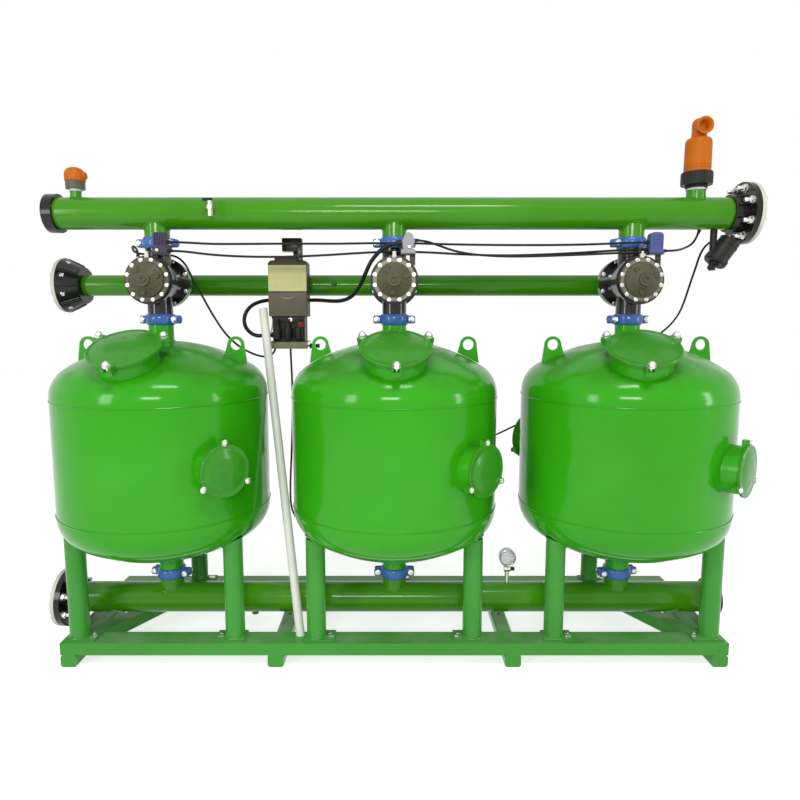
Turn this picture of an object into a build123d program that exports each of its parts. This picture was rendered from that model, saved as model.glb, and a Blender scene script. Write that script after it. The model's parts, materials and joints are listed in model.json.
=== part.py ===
"""Sand media filter: three steel tanks in a row between an inlet, an outlet and a flush manifold."""

from build123d import *
import math
import os

os.makedirs("parts", exist_ok=True)

# Millimetres. X runs along the row of tanks, -Y is the front, Z is up, and the floor is Z = 0.
# The origin lies on the floor under the middle tank's axis.

# Small gaps between pieces that meet on curved faces, and between piece and hole.
SEAT_GAP = 0.3
BOLT_GAP = 1.0
PIN_GAP = 0.05

# Tanks, dished heads with a crown and a knuckle radius.
TANK_PITCH = 865.0
TANK_OD = 762.0
TANK_WALL = 4.0
CROWN_R = 610.0
KNUCKLE_R = 117.0
SHELL_BOTTOM = 545.0
SHELL_TOP = 972.0
TANK_X = [-TANK_PITCH, 0.0, TANK_PITCH]

# Pipes: branch pipes are 3 inch, inlet and outlet manifolds 4 inch, the flush manifold smaller.
BRANCH_OD = 88.9
MANIFOLD_OD = 114.3
FLUSH_OD = 84.0
PIPE_WALL = 4.0
INLET_Z = 1625.0
OUTLET_Z = 167.6
FLUSH_Y = 250.0
FLUSH_Z = 1380.0
MANIFOLD_END = 1232.0
FLUSH_LEFT = 1258.0
FLUSH_RIGHT = 925.0
DRAIN_STUB_X = -545.0
DRAIN_STUB_R = 13.0
DRAIN_STUB_END = 98.0

# Grooved couplings and the height of each joint.
UPPER_JOINT_Z = 1519.0
VALVE_JOINT_Z = 1243.0
LOWER_JOINT_Z = 272.0
PIPE_END_GAP = 3.0
COUPLING_OD = 106.0
COUPLING_H = 40.0
COUPLING_LUG_REACH = 78.0
COUPLING_LUG_T = 18.0
COUPLING_SPLIT = 3.0
COUPLING_BOLT_AT = 64.0
OUTER_COUPLING_TURN = 12.0

# Base frame.
RAIL_LENGTH = 2400.0
RAIL_W = 84.0
RAIL_H = 45.0
RAIL_T = 4.0
FRONT_RAIL_Y = -172.0
REAR_RAIL_Y = 328.0
SLEEPER_W = 58.0
SLEEPER_H = 45.0
SLEEPER_T = 4.0
SLEEPER_ROUND = 7.0
SLEEPER_OUTER_X = 1171.0
SLEEPER_INNER_X = 427.0
PLUG_T = 5.0
ANCHOR_R = 7.0
ANCHOR_Y = 100.0
BRACE_W = 45.0
RAIL_TOP = SLEEPER_H + RAIL_H

# Legs.
LEG_RADIUS = 328.0
LEG_OD = 70.0
LEG_ANGLES = [90.0, 210.0, 330.0]
FOOT_W = 74.0
FOOT_SHORT = 40.0
FOOT_LONG = 68.0
FOOT_T = 6.0
FOOT_BOLT_AT = 52.0

# Lifting eyes.
EYE_AT = 275.0
EYE_HOLE_Z = 1150.0
EYE_HOLE_R = 20.0
EYE_OUTER_R = 31.0
EYE_T = 10.0
EYE_FOOT_HALF = 40.0

# Top hatches on the front shoulder.
HATCH_TILT = 27.0
HATCH_OUT = 296.0
HATCH_Z = 1164.0
HATCH_LID_R = 120.0
HATCH_LID_T = 22.0
HATCH_NECK_R = 100.0
HATCH_BOLT_R = 128.0
HATCH_TURNS = [-3.0, 1.0, -10.0]

# Side hatches, two on each tank.
SIDE_Z = 745.0
SIDE_TURNS = [45.0, -135.0]
SIDE_FACE = 443.0
SIDE_LID_R = 86.0
SIDE_LID_T = 18.0
SIDE_NECK_R = 82.0
SIDE_BOLT_R = 95.0

# Hatch lids: a rim set back behind the raised middle, and ears that reach out to the bolts.
LID_STEP = 22.0
LID_STEP_DOWN = 8.0
LID_EAR_L = 30.0
LID_EAR_W = 34.0
SWING_R = 6.0

# Inside the tanks.
FLOOR_PLATE_T = 10.0
FLOOR_PLATE_Z = 550.0
SAND_DEPTH = 300.0
NOZZLE_R = 22.0
NOZZLE_H = 40.0
NOZZLE_RING = 220.0
DIFFUSER_R = 85.0
DIFFUSER_T = 4.0
DIFFUSER_DROP = 60.0
DIFFUSER_LEG_OUT = 15.0
DIFFUSER_LEG_T = 6.0
DIFFUSER_LEG_W = 12.0

# Valves.
VALVE_Z = 1381.0
BARREL_R = 70.0
BARREL_BORE_R = 58.0
BARREL_BACK = 58.0
BODY_FLANGE_R = 85.0
BODY_FLANGE_T = 12.0
BODY_FRONT = -101.0
REAR_FLANGE_R = 91.0
REAR_FLANGE_T = 15.0
SHOULDER_R = 60.0
SHOULDER_Z = 98.0
PORT_WALL = 6.0
BONNET_R = 77.0
BONNET_T = 14.0
BONNET_STEP_R = 60.0
BONNET_STEP_T = 10.0
BONNET_BOSS_R = 23.0
BONNET_FRONT = -157.0
BONNET_WALL = 6.0
BONNET_PCD = 141.0
BONNET_BOLTS = 12
REAR_PCD = 156.0
REAR_BOLTS = 8
PLUNGER_STEM_R = 9.0
PLUNGER_SEAL_R = 45.0
PLUNGER_T = 10.0
PLUNGER_FRONT = -92.0
PLUNGER_STROKE = 30.0
PLUNGER_SEAL_Y = BARREL_BACK - PORT_WALL - SEAT_GAP - PLUNGER_STROKE - PLUNGER_T

# Bolt heads: half width across flats and height.
M8_HALF = 6.5
M8_H = 6.0
M12_HALF = 9.5
M12_H = 8.0
M16_HALF = 12.0
M16_H = 10.0

# Relays on their brackets in front of the upper couplings.
RELAY_X = 48.0
RELAY_W = 52.0
RELAY_H = 74.0
RELAY_D = 40.0
RELAY_FRONT = -118.0
RELAY_SHELF_Z = 1468.0
RELAY_LEG_IN = 54.0
RELAY_LEG_DROP = 52.0
RELAY_BASE_H = 22.0
RELAY_STEP = 6.0
SHEET_T = 3.0

# Flange sets at the manifold ends.
COLLAR_OD = 133.0
COLLAR_L = 46.0
FLANGE_OD = 220.0
FLANGE_T = 20.0
COUNTER_OD = 215.0
COUNTER_T = 16.0
COUNTER_BORE_R = 55.0
FLANGE_PCD = 180.0
FLANGE_BOLTS = 8
FLANGE_HOLE_R = 9.0
CONE_START_R = 72.5
CONE_L = 73.0
FLUSH_BORE_R = 45.0
CAP_OD = 138.0
CAP_L = 36.0
CAP_COVER_R = 50.0
CAP_COVER_T = 8.0
CAP_PCD = 72.0

# Large air valve.
AIR_X = 1092.0
AIR_STUB_R = 33.0
AIR_STUB_TOP = 1713.0
AIR_NECK_HALF = 36.0
AIR_NECK_TOP = 1724.0
AIR_RING_R = 53.0
AIR_RING_TOP = 1768.0
AIR_BODY_R = 46.0
AIR_BODY_TOP = 1882.0
AIR_NECK_R = 26.0
AIR_MOUTH_Z = 1922.0
AIR_MOUTH_R = 30.0
AIR_MOUTH_BORE_R = 17.0
AIR_MOUTH_FRONT = -46.0
AIR_WALL = 6.0
AIR_TOP = 1956.0
FLOAT_R = 30.0
FLOAT_H = 74.0

# Small air valve.
SMALL_AIR_X = -1153.0
SMALL_STUB_R = 19.0
SMALL_STUB_TOP = 1702.0
SMALL_COLLAR_H = 9.0
SMALL_BASE_R = 33.0
SMALL_BASE_TOP = 1738.0
SMALL_CAP_R = 35.5
SMALL_CAP_TOP = 1787.0
SMALL_CAP_SIDE = 26.0

# Controller on its bracket in front of the flush manifold.
BOX_X = -413.0
BOX_W = 150.0
BOX_FRONT = 110.0
BOX_BACK = 199.0
BOX_BOTTOM = 1254.0
BOX_TOP = 1470.0
DOOR_T = 15.0
DOOR_BOTTOM = 1350.0
DOOR_GAP = 2.0
DOOR_TOP_GAP = 6.0
BOX_WALL = 4.0
BOX_ROUND = 14.0
DOOR_PIN_R = 3.0
DOOR_LUG_R = 6.0
DOOR_LUG_GRIP = 40.0
DOOR_LUG_T = 8.0
DOOR_PIN_Y = 118.0
DOOR_PIN_Z = 1478.0
BOX_RECESS = 40.0
BLOCK_BOTTOM = 1158.0
BLOCK_W = 124.0
BRACKET_W = 78.0
BRACKET_T = 4.0
BRACKET_TOP = 1559.0
BRACKET_FOOT = 1129.0
STRAP_W = 24.0
STRAP_T = 4.0

# Pressure gauge on the outlet manifold.
GAUGE_X = 438.0
GAUGE_Z = 328.0
GAUGE_R = 32.5
GAUGE_D = 26.0
GAUGE_STEM_R = 8.0
DIAL_DEPTH = 8.0
NEEDLE_L = 22.0
NEEDLE_HUB = 4.0
NEEDLE_W = 1.6
NEEDLE_TURN = 45.0
GAUGE_RIM = 3.5
NEEDLE_T = 1.5
COCK_Z = 280.0
COCK_R = 12.0
KNOB_R = 9.0
KNOB_L = 16.0
KNOB_HUB_R = 6.5

# Sampling tap on the inlet manifold.
TAP_X = -643.0
TAP_Z = 1632.0
TAP_R = 9.0
TAP_REACH = 42.0
TAP_SPOUT = 30.0
TAP_STEM = 22.0
TAP_HANDLE_L = 34.0
TAP_HUB_R = 7.0

# Command filter under the inlet manifold's right end.
FILTER_X = 1165.0
FILTER_PIPE_R = 12.0
FILTER_R = 37.0
FILTER_L = 98.0
FILTER_LEAN = 34.5
FILTER_BOTTOM = 1422.0
FILTER_OFF = 6.0
FILTER_LOW = 1448.0

# White drain pipe leaning from the front rail up to the controller.
DRAIN_OD = 32.0
DRAIN_WALL = 2.5
DRAIN_FOOT = (-346.0, -150.0, 90.0)
DRAIN_TOP = (-511.0, 120.0, 1285.0)

# Tubes
TUBE_OD = 8.0
CONDUIT_OD = 15.0
HOSE_OD = 6.0
TUBE_SIDES = 6

# Worked out from the above.
TANK_R = TANK_OD / 2
KNUCKLE_TURN = math.asin((TANK_R - KNUCKLE_R) / (CROWN_R - KNUCKLE_R))
HEAD_DEPTH = CROWN_R - (CROWN_R - KNUCKLE_R) * math.cos(KNUCKLE_TURN)
TANK_APEX = SHELL_TOP + HEAD_DEPTH
TANK_BASE = SHELL_BOTTOM - HEAD_DEPTH
BRANCH_R = BRANCH_OD / 2
BRANCH_BORE_R = BRANCH_R - PIPE_WALL
MANIFOLD_R = MANIFOLD_OD / 2
FLUSH_R = FLUSH_OD / 2


def head_points(grow, z_tangent, way):
    """Knuckle end, crown middle and apex of a dished head, offset outward by the given amount."""
    crown_z = HEAD_DEPTH - CROWN_R
    knuckle_r = (KNUCKLE_R + grow) * math.sin(KNUCKLE_TURN) + TANK_R - KNUCKLE_R
    knuckle_z = (KNUCKLE_R + grow) * math.cos(KNUCKLE_TURN)
    mid_r = (CROWN_R + grow) * math.sin(KNUCKLE_TURN / 2)
    mid_z = (CROWN_R + grow) * math.cos(KNUCKLE_TURN / 2) + crown_z
    return (
        (knuckle_r, z_tangent + way * knuckle_z),
        (mid_r, z_tangent + way * mid_z),
        (0, z_tangent + way * (HEAD_DEPTH + grow)),
    )


def draw_head(z_tangent, way):
    """Draw a head's knuckle and crown from the shell to the axis."""
    end, mid, apex = head_points(0, z_tangent, way)
    sweep_angle = math.pi / 2 - KNUCKLE_TURN
    pull = 4 / 3 * math.tan(sweep_angle / 4) * KNUCKLE_R
    before_end = (end[0] + math.sin(sweep_angle) * pull, end[1] - way * math.cos(sweep_angle) * pull)
    Bezier((TANK_R, z_tangent), (TANK_R, z_tangent + way * pull), before_end, end)
    ThreePointArc(end, mid, apex)


def shell_solid():
    """The closed tank shell as a solid on the Z axis."""
    with BuildPart() as solid:
        with BuildSketch(Plane.XZ):
            with BuildLine():
                Line((TANK_R, SHELL_BOTTOM), (TANK_R, SHELL_TOP))
                draw_head(SHELL_TOP, 1)
                draw_head(SHELL_BOTTOM, -1)
                Line((0, TANK_APEX), (0, TANK_BASE))
            make_face()
        revolve(axis=Axis.Z)
    return solid.part


def cavity_solid():
    """The room inside a tank, with straight chords drawn just inside the dished wall."""
    top_end, top_mid, top_apex = head_points(-TANK_WALL, SHELL_TOP, 1)
    low_end, low_mid, low_apex = head_points(-TANK_WALL, SHELL_BOTTOM, -1)
    r = TANK_R - TANK_WALL
    with BuildPart() as solid:
        with BuildSketch(Plane.XZ):
            with BuildLine():
                Polyline(
                    (0, low_mid[1]), low_mid, low_end, (r, SHELL_BOTTOM),
                    (r, SHELL_TOP), top_end, top_mid, (0, top_mid[1]), close=True,
                )
            make_face()
        revolve(axis=Axis.Z)
    return solid.part


def head_slope(radius):
    """Height below the apex and slope of a head's outer face at a radius on its crown."""
    return CROWN_R - math.sqrt(CROWN_R**2 - radius**2), math.asin(radius / CROWN_R)


def turned(degrees):
    """Horizontal unit vector at an angle from the front, turning to the right."""
    a = math.radians(degrees)
    return Vector(math.sin(a), -math.cos(a), 0)


def top_hatch_plane(x, turn, below):
    """Plane across a top hatch's neck, at a depth below the lid's outer face."""
    out = turned(turn)
    tilt = math.radians(HATCH_TILT)
    normal = Vector(out.X * math.sin(tilt), out.Y * math.sin(tilt), math.cos(tilt))
    face = Vector(x + out.X * HATCH_OUT, out.Y * HATCH_OUT, HATCH_Z)
    side = Vector(-out.Y, out.X, 0)
    return Plane(origin=face - normal * below, x_dir=side, z_dir=normal)


def side_hatch_plane(x, turn, below):
    """Plane across a side hatch's neck, at a depth below the lid's outer face."""
    out = turned(turn)
    return Plane(
        origin=Vector(x, 0, SIDE_Z) + out * (SIDE_FACE - below),
        x_dir=Vector(-out.Y, out.X, 0),
        z_dir=out,
    )


def make_tank(x, hatch_turn):
    """One tank with its branch necks and hatch necks."""
    lug_d = 2 * (HATCH_BOLT_R + 10 - HATCH_NECK_R)
    with BuildPart() as tank:
        add(Pos(x, 0, 0) * shell_solid())
        with BuildSketch(Plane.XY.offset(VALVE_JOINT_Z - PIPE_END_GAP / 2)):
            with Locations((x, 0)):
                Circle(BRANCH_R)
        extrude(amount=-(VALVE_JOINT_Z - TANK_APEX + TANK_WALL * 3))
        with BuildSketch(Plane.XY.offset(LOWER_JOINT_Z + PIPE_END_GAP / 2)):
            with Locations((x, 0)):
                Circle(BRANCH_R)
        extrude(amount=TANK_BASE - LOWER_JOINT_Z + TANK_WALL * 3)
        with BuildSketch(top_hatch_plane(x, hatch_turn, HATCH_LID_T)):
            Circle(HATCH_NECK_R)
            with PolarLocations(HATCH_NECK_R, 3, start_angle=-90):
                Rectangle(lug_d, 30)
        extrude(amount=-16)
        with BuildSketch(top_hatch_plane(x, hatch_turn, HATCH_LID_T)):
            Circle(HATCH_NECK_R)
        extrude(amount=-100)
        for turn in SIDE_TURNS:
            with BuildSketch(side_hatch_plane(x, turn, SIDE_LID_T)):
                Circle(SIDE_NECK_R)
                with PolarLocations(SIDE_NECK_R, 3, start_angle=90):
                    Rectangle(2 * (SIDE_BOLT_R + 9 - SIDE_NECK_R), 24)
            extrude(amount=-14)
            with BuildSketch(side_hatch_plane(x, turn, SIDE_LID_T)):
                Circle(SIDE_NECK_R)
            extrude(amount=-90)
        add(Pos(x, 0, 0) * cavity_solid(), mode=Mode.SUBTRACT)
        with BuildSketch(Plane.XY.offset(VALVE_JOINT_Z)):
            with Locations((x, 0)):
                Circle(BRANCH_BORE_R)
        extrude(amount=-150, mode=Mode.SUBTRACT)
        with BuildSketch(Plane.XY.offset(LOWER_JOINT_Z)):
            with Locations((x, 0)):
                Circle(BRANCH_BORE_R)
        extrude(amount=150, mode=Mode.SUBTRACT)
    return tank.part


def sleeper_outline():
    """Outer section of a sleeper, with its corners taken off."""
    with BuildSketch() as outline:
        Rectangle(SLEEPER_W, SLEEPER_H)
        chamfer(outline.vertices(), SLEEPER_ROUND)
    return outline.sketch


def hexes(planes, half_width, height):
    """Hexagonal heads standing on the given planes."""
    with BuildPart() as heads:
        with BuildSketch(*planes):
            RegularPolygon(half_width, 6, major_radius=False)
        extrude(amount=height)
    return heads.part


def ring_planes(plane, radius, count, start):
    """Planes at even steps round a circle drawn on a plane."""
    found = []
    for i in range(count):
        a = math.radians(start + 360 / count * i)
        spot = plane.from_local_coords((radius * math.cos(a), radius * math.sin(a), 0))
        found.append(Plane(origin=spot, x_dir=plane.x_dir, z_dir=plane.z_dir))
    return found


def save(builder, name):
    """Label a finished piece and write it."""
    builder.part.label = name
    export_step(builder.part, "parts/" + name + ".step")


# Base frame
with BuildPart() as base_rails:
    for y in (FRONT_RAIL_Y, REAR_RAIL_Y):
        with BuildSketch(Plane.YZ.offset(-RAIL_LENGTH / 2)):
            with Locations((y, SLEEPER_H + RAIL_H / 2)):
                Rectangle(RAIL_W, RAIL_H)
            with Locations((y, SLEEPER_H + RAIL_H / 2 - RAIL_T)):
                Rectangle(RAIL_W - 2 * RAIL_T, RAIL_H, mode=Mode.SUBTRACT)
        extrude(amount=RAIL_LENGTH)
save(base_rails, "base_rails")

SLEEPER_FRONT = FRONT_RAIL_Y - RAIL_W / 2
SLEEPER_BACK = REAR_RAIL_Y + RAIL_W / 2
SLEEPER_XS = [-SLEEPER_OUTER_X, -SLEEPER_INNER_X, SLEEPER_INNER_X, SLEEPER_OUTER_X]
with BuildPart() as base_sleepers:
    with BuildSketch(Plane.XZ.offset(-SLEEPER_BACK + PLUG_T)):
        with Locations(*[(x, SLEEPER_H / 2) for x in SLEEPER_XS]):
            add(sleeper_outline())
            Rectangle(SLEEPER_W - 2 * SLEEPER_T, SLEEPER_H - 2 * SLEEPER_T, mode=Mode.SUBTRACT)
    extrude(amount=SLEEPER_BACK - SLEEPER_FRONT - 2 * PLUG_T)
    with BuildSketch(Plane.XY):
        with GridLocations(2 * SLEEPER_INNER_X, 2 * ANCHOR_Y, 2, 2):
            Circle(ANCHOR_R)
    extrude(amount=SLEEPER_H, mode=Mode.SUBTRACT)
save(base_sleepers, "base_sleepers")

with BuildPart() as sleeper_plugs:
    for y in (SLEEPER_FRONT + PLUG_T, SLEEPER_BACK):
        with BuildSketch(Plane.XZ.offset(-y)):
            with Locations(*[(x, SLEEPER_H / 2) for x in SLEEPER_XS]):
                add(sleeper_outline())
        extrude(amount=PLUG_T)
save(sleeper_plugs, "sleeper_plugs")

CROSS_FRONT = FRONT_RAIL_Y + RAIL_W / 2
CROSS_BACK = REAR_RAIL_Y - RAIL_W / 2
BRACE_FRONT_X = SLEEPER_OUTER_X - BRACE_W
BRACE_BACK_X = TANK_PITCH
with BuildPart() as base_cross_members:
    with BuildSketch(Plane.XY.offset(SLEEPER_H)):
        for side in (-1, 1):
            with Locations((side * SLEEPER_OUTER_X, (CROSS_FRONT + CROSS_BACK) / 2)):
                Rectangle(BRACE_W, CROSS_BACK - CROSS_FRONT)
            with BuildLine():
                Polyline(
                    (side * (BRACE_FRONT_X - BRACE_W), CROSS_FRONT),
                    (side * (BRACE_FRONT_X + BRACE_W / 2 - SEAT_GAP), CROSS_FRONT),
                    (side * (BRACE_BACK_X + BRACE_W), CROSS_BACK),
                    (side * (BRACE_BACK_X - BRACE_W / 2), CROSS_BACK),
                    close=True,
                )
            make_face()
    extrude(amount=RAIL_H)
save(base_cross_members, "base_cross_members")

# Tanks
tank_left = BuildPart()
with tank_left:
    add(make_tank(TANK_X[0], HATCH_TURNS[0]))
save(tank_left, "tank_left")
tank_middle = BuildPart()
with tank_middle:
    add(make_tank(TANK_X[1], HATCH_TURNS[1]))
save(tank_middle, "tank_middle")
tank_right = BuildPart()
with tank_right:
    add(make_tank(TANK_X[2], HATCH_TURNS[2]))
save(tank_right, "tank_right")

# Legs, each a closed tube on its foot plate, cut to the slope of the head it carries
leg_drop, leg_slope = head_slope(LEG_RADIUS)
leg_spots = []
for x in TANK_X:
    for angle in LEG_ANGLES:
        a = math.radians(angle)
        way = -1 if math.cos(a) > 0.1 else 1
        leg_spots.append((x, LEG_RADIUS * math.cos(a), LEG_RADIUS * math.sin(a), way))
FOOT_MIDDLE = (FOOT_LONG - FOOT_SHORT) / 2
with BuildPart() as tank_legs:
    with BuildSketch(Plane.XY.offset(RAIL_TOP)):
        for x, dx, dy, way in leg_spots:
            with Locations((x + dx + way * FOOT_MIDDLE, dy)):
                Rectangle(FOOT_LONG + FOOT_SHORT, FOOT_W)
    extrude(amount=FOOT_T)
    with BuildSketch(Plane.XY.offset(RAIL_TOP + FOOT_T)):
        with Locations(*[(x + dx, dy) for x, dx, dy, way in leg_spots]):
            Circle(LEG_OD / 2)
    extrude(amount=SHELL_BOTTOM - RAIL_TOP - FOOT_T)
    for x, dx, dy, way in leg_spots:
        out = Vector(dx, dy, 0) / LEG_RADIUS
        normal = Vector(out.X * math.sin(leg_slope), out.Y * math.sin(leg_slope), -math.cos(leg_slope))
        spot = Vector(x + dx, dy, TANK_BASE + leg_drop) + normal * SEAT_GAP
        with BuildSketch(Plane(origin=spot, x_dir=Vector(-out.Y, out.X, 0), z_dir=normal)):
            Rectangle(6 * LEG_OD, 6 * LEG_OD)
        extrude(amount=-3 * LEG_OD, mode=Mode.SUBTRACT)
save(tank_legs, "tank_legs")

foot_planes = [
    Plane(origin=(x + dx + way * FOOT_BOLT_AT, dy, RAIL_TOP + FOOT_T)) for x, dx, dy, way in leg_spots
]
leg_bolts = BuildPart()
with leg_bolts:
    add(hexes(foot_planes, M16_HALF, M16_H))
save(leg_bolts, "leg_bolts")

# Lifting eyes, a drop-shaped plate with a flared foot cut to the slope of the head
eye_drop, eye_slope = head_slope(EYE_AT)
eye_foot_z = TANK_APEX - eye_drop + SEAT_GAP / math.cos(eye_slope)
eye_fall = EYE_FOOT_HALF * math.tan(eye_slope)
with BuildPart() as lifting_eyes:
    with BuildSketch(Plane.XZ.offset(-EYE_T / 2)):
        for x in TANK_X:
            for side in (-1, 1):
                middle = x + side * EYE_AT
                with Locations((middle, EYE_HOLE_Z)):
                    Circle(EYE_OUTER_R)
                with BuildLine():
                    Polyline(
                        (middle - EYE_OUTER_R, EYE_HOLE_Z),
                        (middle + EYE_OUTER_R, EYE_HOLE_Z),
                        (middle + EYE_FOOT_HALF, eye_foot_z - side * eye_fall),
                        (middle - EYE_FOOT_HALF, eye_foot_z + side * eye_fall),
                        close=True,
                    )
                make_face()
        with Locations(*[(x + side * EYE_AT, EYE_HOLE_Z) for x in TANK_X for side in (-1, 1)]):
            Circle(EYE_HOLE_R, mode=Mode.SUBTRACT)
    extrude(amount=EYE_T)
save(lifting_eyes, "lifting_eyes")

# Nozzle plates, nozzles, sand and diffusers inside the tanks
inside_r = TANK_R - TANK_WALL - SEAT_GAP
sand_z = FLOOR_PLATE_Z + FLOOR_PLATE_T + NOZZLE_H
with BuildPart() as nozzle_plates:
    with BuildSketch(Plane.XY.offset(FLOOR_PLATE_Z)):
        with Locations(*[(x, 0) for x in TANK_X]):
            Circle(inside_r)
    extrude(amount=FLOOR_PLATE_T)
    with BuildSketch(Plane.XY.offset(FLOOR_PLATE_Z + FLOOR_PLATE_T)):
        for x in TANK_X:
            with Locations((x, 0)):
                with PolarLocations(NOZZLE_RING, 6):
                    RegularPolygon(NOZZLE_R, 6)
    extrude(amount=NOZZLE_H)
save(nozzle_plates, "nozzle_plates")

with BuildPart() as sand_beds:
    with BuildSketch(Plane.XY.offset(sand_z)):
        with Locations(*[(x, 0) for x in TANK_X]):
            Circle(inside_r)
    extrude(amount=SAND_DEPTH)
save(sand_beds, "sand_beds")

diffuser_hang = CROWN_R * (1 - math.cos(KNUCKLE_TURN / 2)) + TANK_WALL
with BuildPart() as diffusers:
    with BuildSketch(Plane.XY.offset(TANK_APEX - DIFFUSER_DROP)):
        with Locations(*[(x, 0) for x in TANK_X]):
            Circle(DIFFUSER_R)
    extrude(amount=DIFFUSER_T)
    with BuildSketch(Plane.XY.offset(TANK_APEX - DIFFUSER_DROP + DIFFUSER_T)):
        for x in TANK_X:
            with Locations((x, 0)):
                with PolarLocations(BRANCH_R + DIFFUSER_LEG_OUT, 3):
                    Rectangle(DIFFUSER_LEG_T, DIFFUSER_LEG_W)
    extrude(amount=DIFFUSER_DROP - DIFFUSER_T - diffuser_hang)
save(diffusers, "diffusers")

# Hatch lids: a raised middle on a rim whose three forked ears take the hinged bolts
with BuildPart() as top_hatch_lids:
    for x, turn in zip(TANK_X, HATCH_TURNS):
        with BuildSketch(top_hatch_plane(x, turn, 0)):
            Circle(HATCH_LID_R - LID_STEP)
        extrude(amount=-HATCH_LID_T)
        with BuildSketch(top_hatch_plane(x, turn, LID_STEP_DOWN)):
            Circle(HATCH_LID_R)
            with PolarLocations(HATCH_BOLT_R, 3, start_angle=-90):
                Rectangle(LID_EAR_L, LID_EAR_W)
        extrude(amount=LID_STEP_DOWN - HATCH_LID_T)
        with BuildSketch(top_hatch_plane(x, turn, 0)):
            with PolarLocations(HATCH_BOLT_R + LID_EAR_L / 2, 3, start_angle=-90):
                Rectangle(LID_EAR_L + 2 * (SWING_R + BOLT_GAP), 2 * (SWING_R + BOLT_GAP))
        extrude(amount=-HATCH_LID_T, mode=Mode.SUBTRACT)
save(top_hatch_lids, "top_hatch_lids")

with BuildPart() as side_hatch_lids:
    for x in TANK_X:
        for turn in SIDE_TURNS:
            with BuildSketch(side_hatch_plane(x, turn, 0)):
                Circle(SIDE_LID_R - LID_STEP)
            extrude(amount=-SIDE_LID_T)
            with BuildSketch(side_hatch_plane(x, turn, LID_STEP_DOWN)):
                Circle(SIDE_LID_R)
                with PolarLocations(SIDE_LID_R, 3, start_angle=90):
                    Rectangle(2 * (SIDE_BOLT_R + 9 - SIDE_LID_R), 24)
            extrude(amount=LID_STEP_DOWN - SIDE_LID_T)
save(side_hatch_lids, "side_hatch_lids")

# Hinged bolts of the top hatches stand in the ears' forks; the side hatches have plain bolt heads.
swing_planes = []
nut_planes = []
side_bolt_planes = []
for x, turn in zip(TANK_X, HATCH_TURNS):
    swing_planes += ring_planes(top_hatch_plane(x, turn, HATCH_LID_T), HATCH_BOLT_R, 3, -90)
    nut_planes += ring_planes(top_hatch_plane(x, turn, LID_STEP_DOWN), HATCH_BOLT_R, 3, -90)
    for side_turn in SIDE_TURNS:
        face = side_hatch_plane(x, side_turn, LID_STEP_DOWN)
        side_bolt_planes += ring_planes(face, SIDE_BOLT_R, 3, 90)
with BuildPart() as hatch_bolts:
    with BuildSketch(*swing_planes):
        RegularPolygon(SWING_R, 6)
    extrude(amount=HATCH_LID_T - LID_STEP_DOWN + 2 * M16_H)
    add(hexes(nut_planes, M16_HALF, M16_H))
    add(hexes(side_bolt_planes, M12_HALF, M12_H))
save(hatch_bolts, "hatch_bolts")

# Manifolds with their stubs
with BuildPart() as inlet_manifold:
    with BuildSketch(Plane.YZ.offset(-MANIFOLD_END)):
        with Locations((0, INLET_Z)):
            Circle(MANIFOLD_R)
    extrude(amount=2 * MANIFOLD_END)
    with BuildSketch(Plane.XY.offset(UPPER_JOINT_Z + PIPE_END_GAP / 2)):
        with Locations(*[(x, 0) for x in TANK_X]):
            Circle(BRANCH_R)
    extrude(amount=INLET_Z - UPPER_JOINT_Z)
    with BuildSketch(Plane.XY.offset(INLET_Z)):
        with Locations((AIR_X, 0)):
            Circle(AIR_STUB_R)
    extrude(amount=AIR_STUB_TOP - INLET_Z)
    with BuildSketch(Plane.XY.offset(INLET_Z)):
        with Locations((SMALL_AIR_X, 0)):
            Circle(SMALL_STUB_R)
    extrude(amount=SMALL_STUB_TOP - INLET_Z)
    with BuildSketch(Plane.YZ.offset(-MANIFOLD_END)):
        with Locations((0, INLET_Z)):
            Circle(MANIFOLD_R - PIPE_WALL)
    extrude(amount=2 * MANIFOLD_END, mode=Mode.SUBTRACT)
    with BuildSketch(Plane.XY.offset(UPPER_JOINT_Z)):
        with Locations(*[(x, 0) for x in TANK_X]):
            Circle(BRANCH_BORE_R)
    extrude(amount=INLET_Z - UPPER_JOINT_Z, mode=Mode.SUBTRACT)
    with BuildSketch(Plane.XY.offset(INLET_Z)):
        with Locations((AIR_X, 0)):
            Circle(AIR_STUB_R - PIPE_WALL)
        with Locations((SMALL_AIR_X, 0)):
            Circle(SMALL_STUB_R - PIPE_WALL)
    extrude(amount=AIR_STUB_TOP - INLET_Z, mode=Mode.SUBTRACT)
save(inlet_manifold, "inlet_manifold")

with BuildPart() as outlet_manifold:
    with BuildSketch(Plane.YZ.offset(-MANIFOLD_END)):
        with Locations((0, OUTLET_Z)):
            Circle(MANIFOLD_R)
    extrude(amount=2 * MANIFOLD_END)
    with BuildSketch(Plane.XY.offset(LOWER_JOINT_Z - PIPE_END_GAP / 2)):
        with Locations(*[(x, 0) for x in TANK_X]):
            Circle(BRANCH_R)
    extrude(amount=OUTLET_Z - LOWER_JOINT_Z)
    with BuildSketch(Plane.XY.offset(OUTLET_Z)):
        with Locations((DRAIN_STUB_X, 0)):
            Circle(DRAIN_STUB_R)
    extrude(amount=DRAIN_STUB_END - OUTLET_Z)
    with BuildSketch(Plane.YZ.offset(-MANIFOLD_END)):
        with Locations((0, OUTLET_Z)):
            Circle(MANIFOLD_R - PIPE_WALL)
    extrude(amount=2 * MANIFOLD_END, mode=Mode.SUBTRACT)
    with BuildSketch(Plane.XY.offset(LOWER_JOINT_Z)):
        with Locations(*[(x, 0) for x in TANK_X]):
            Circle(BRANCH_BORE_R)
    extrude(amount=OUTLET_Z - LOWER_JOINT_Z, mode=Mode.SUBTRACT)
save(outlet_manifold, "outlet_manifold")

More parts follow.
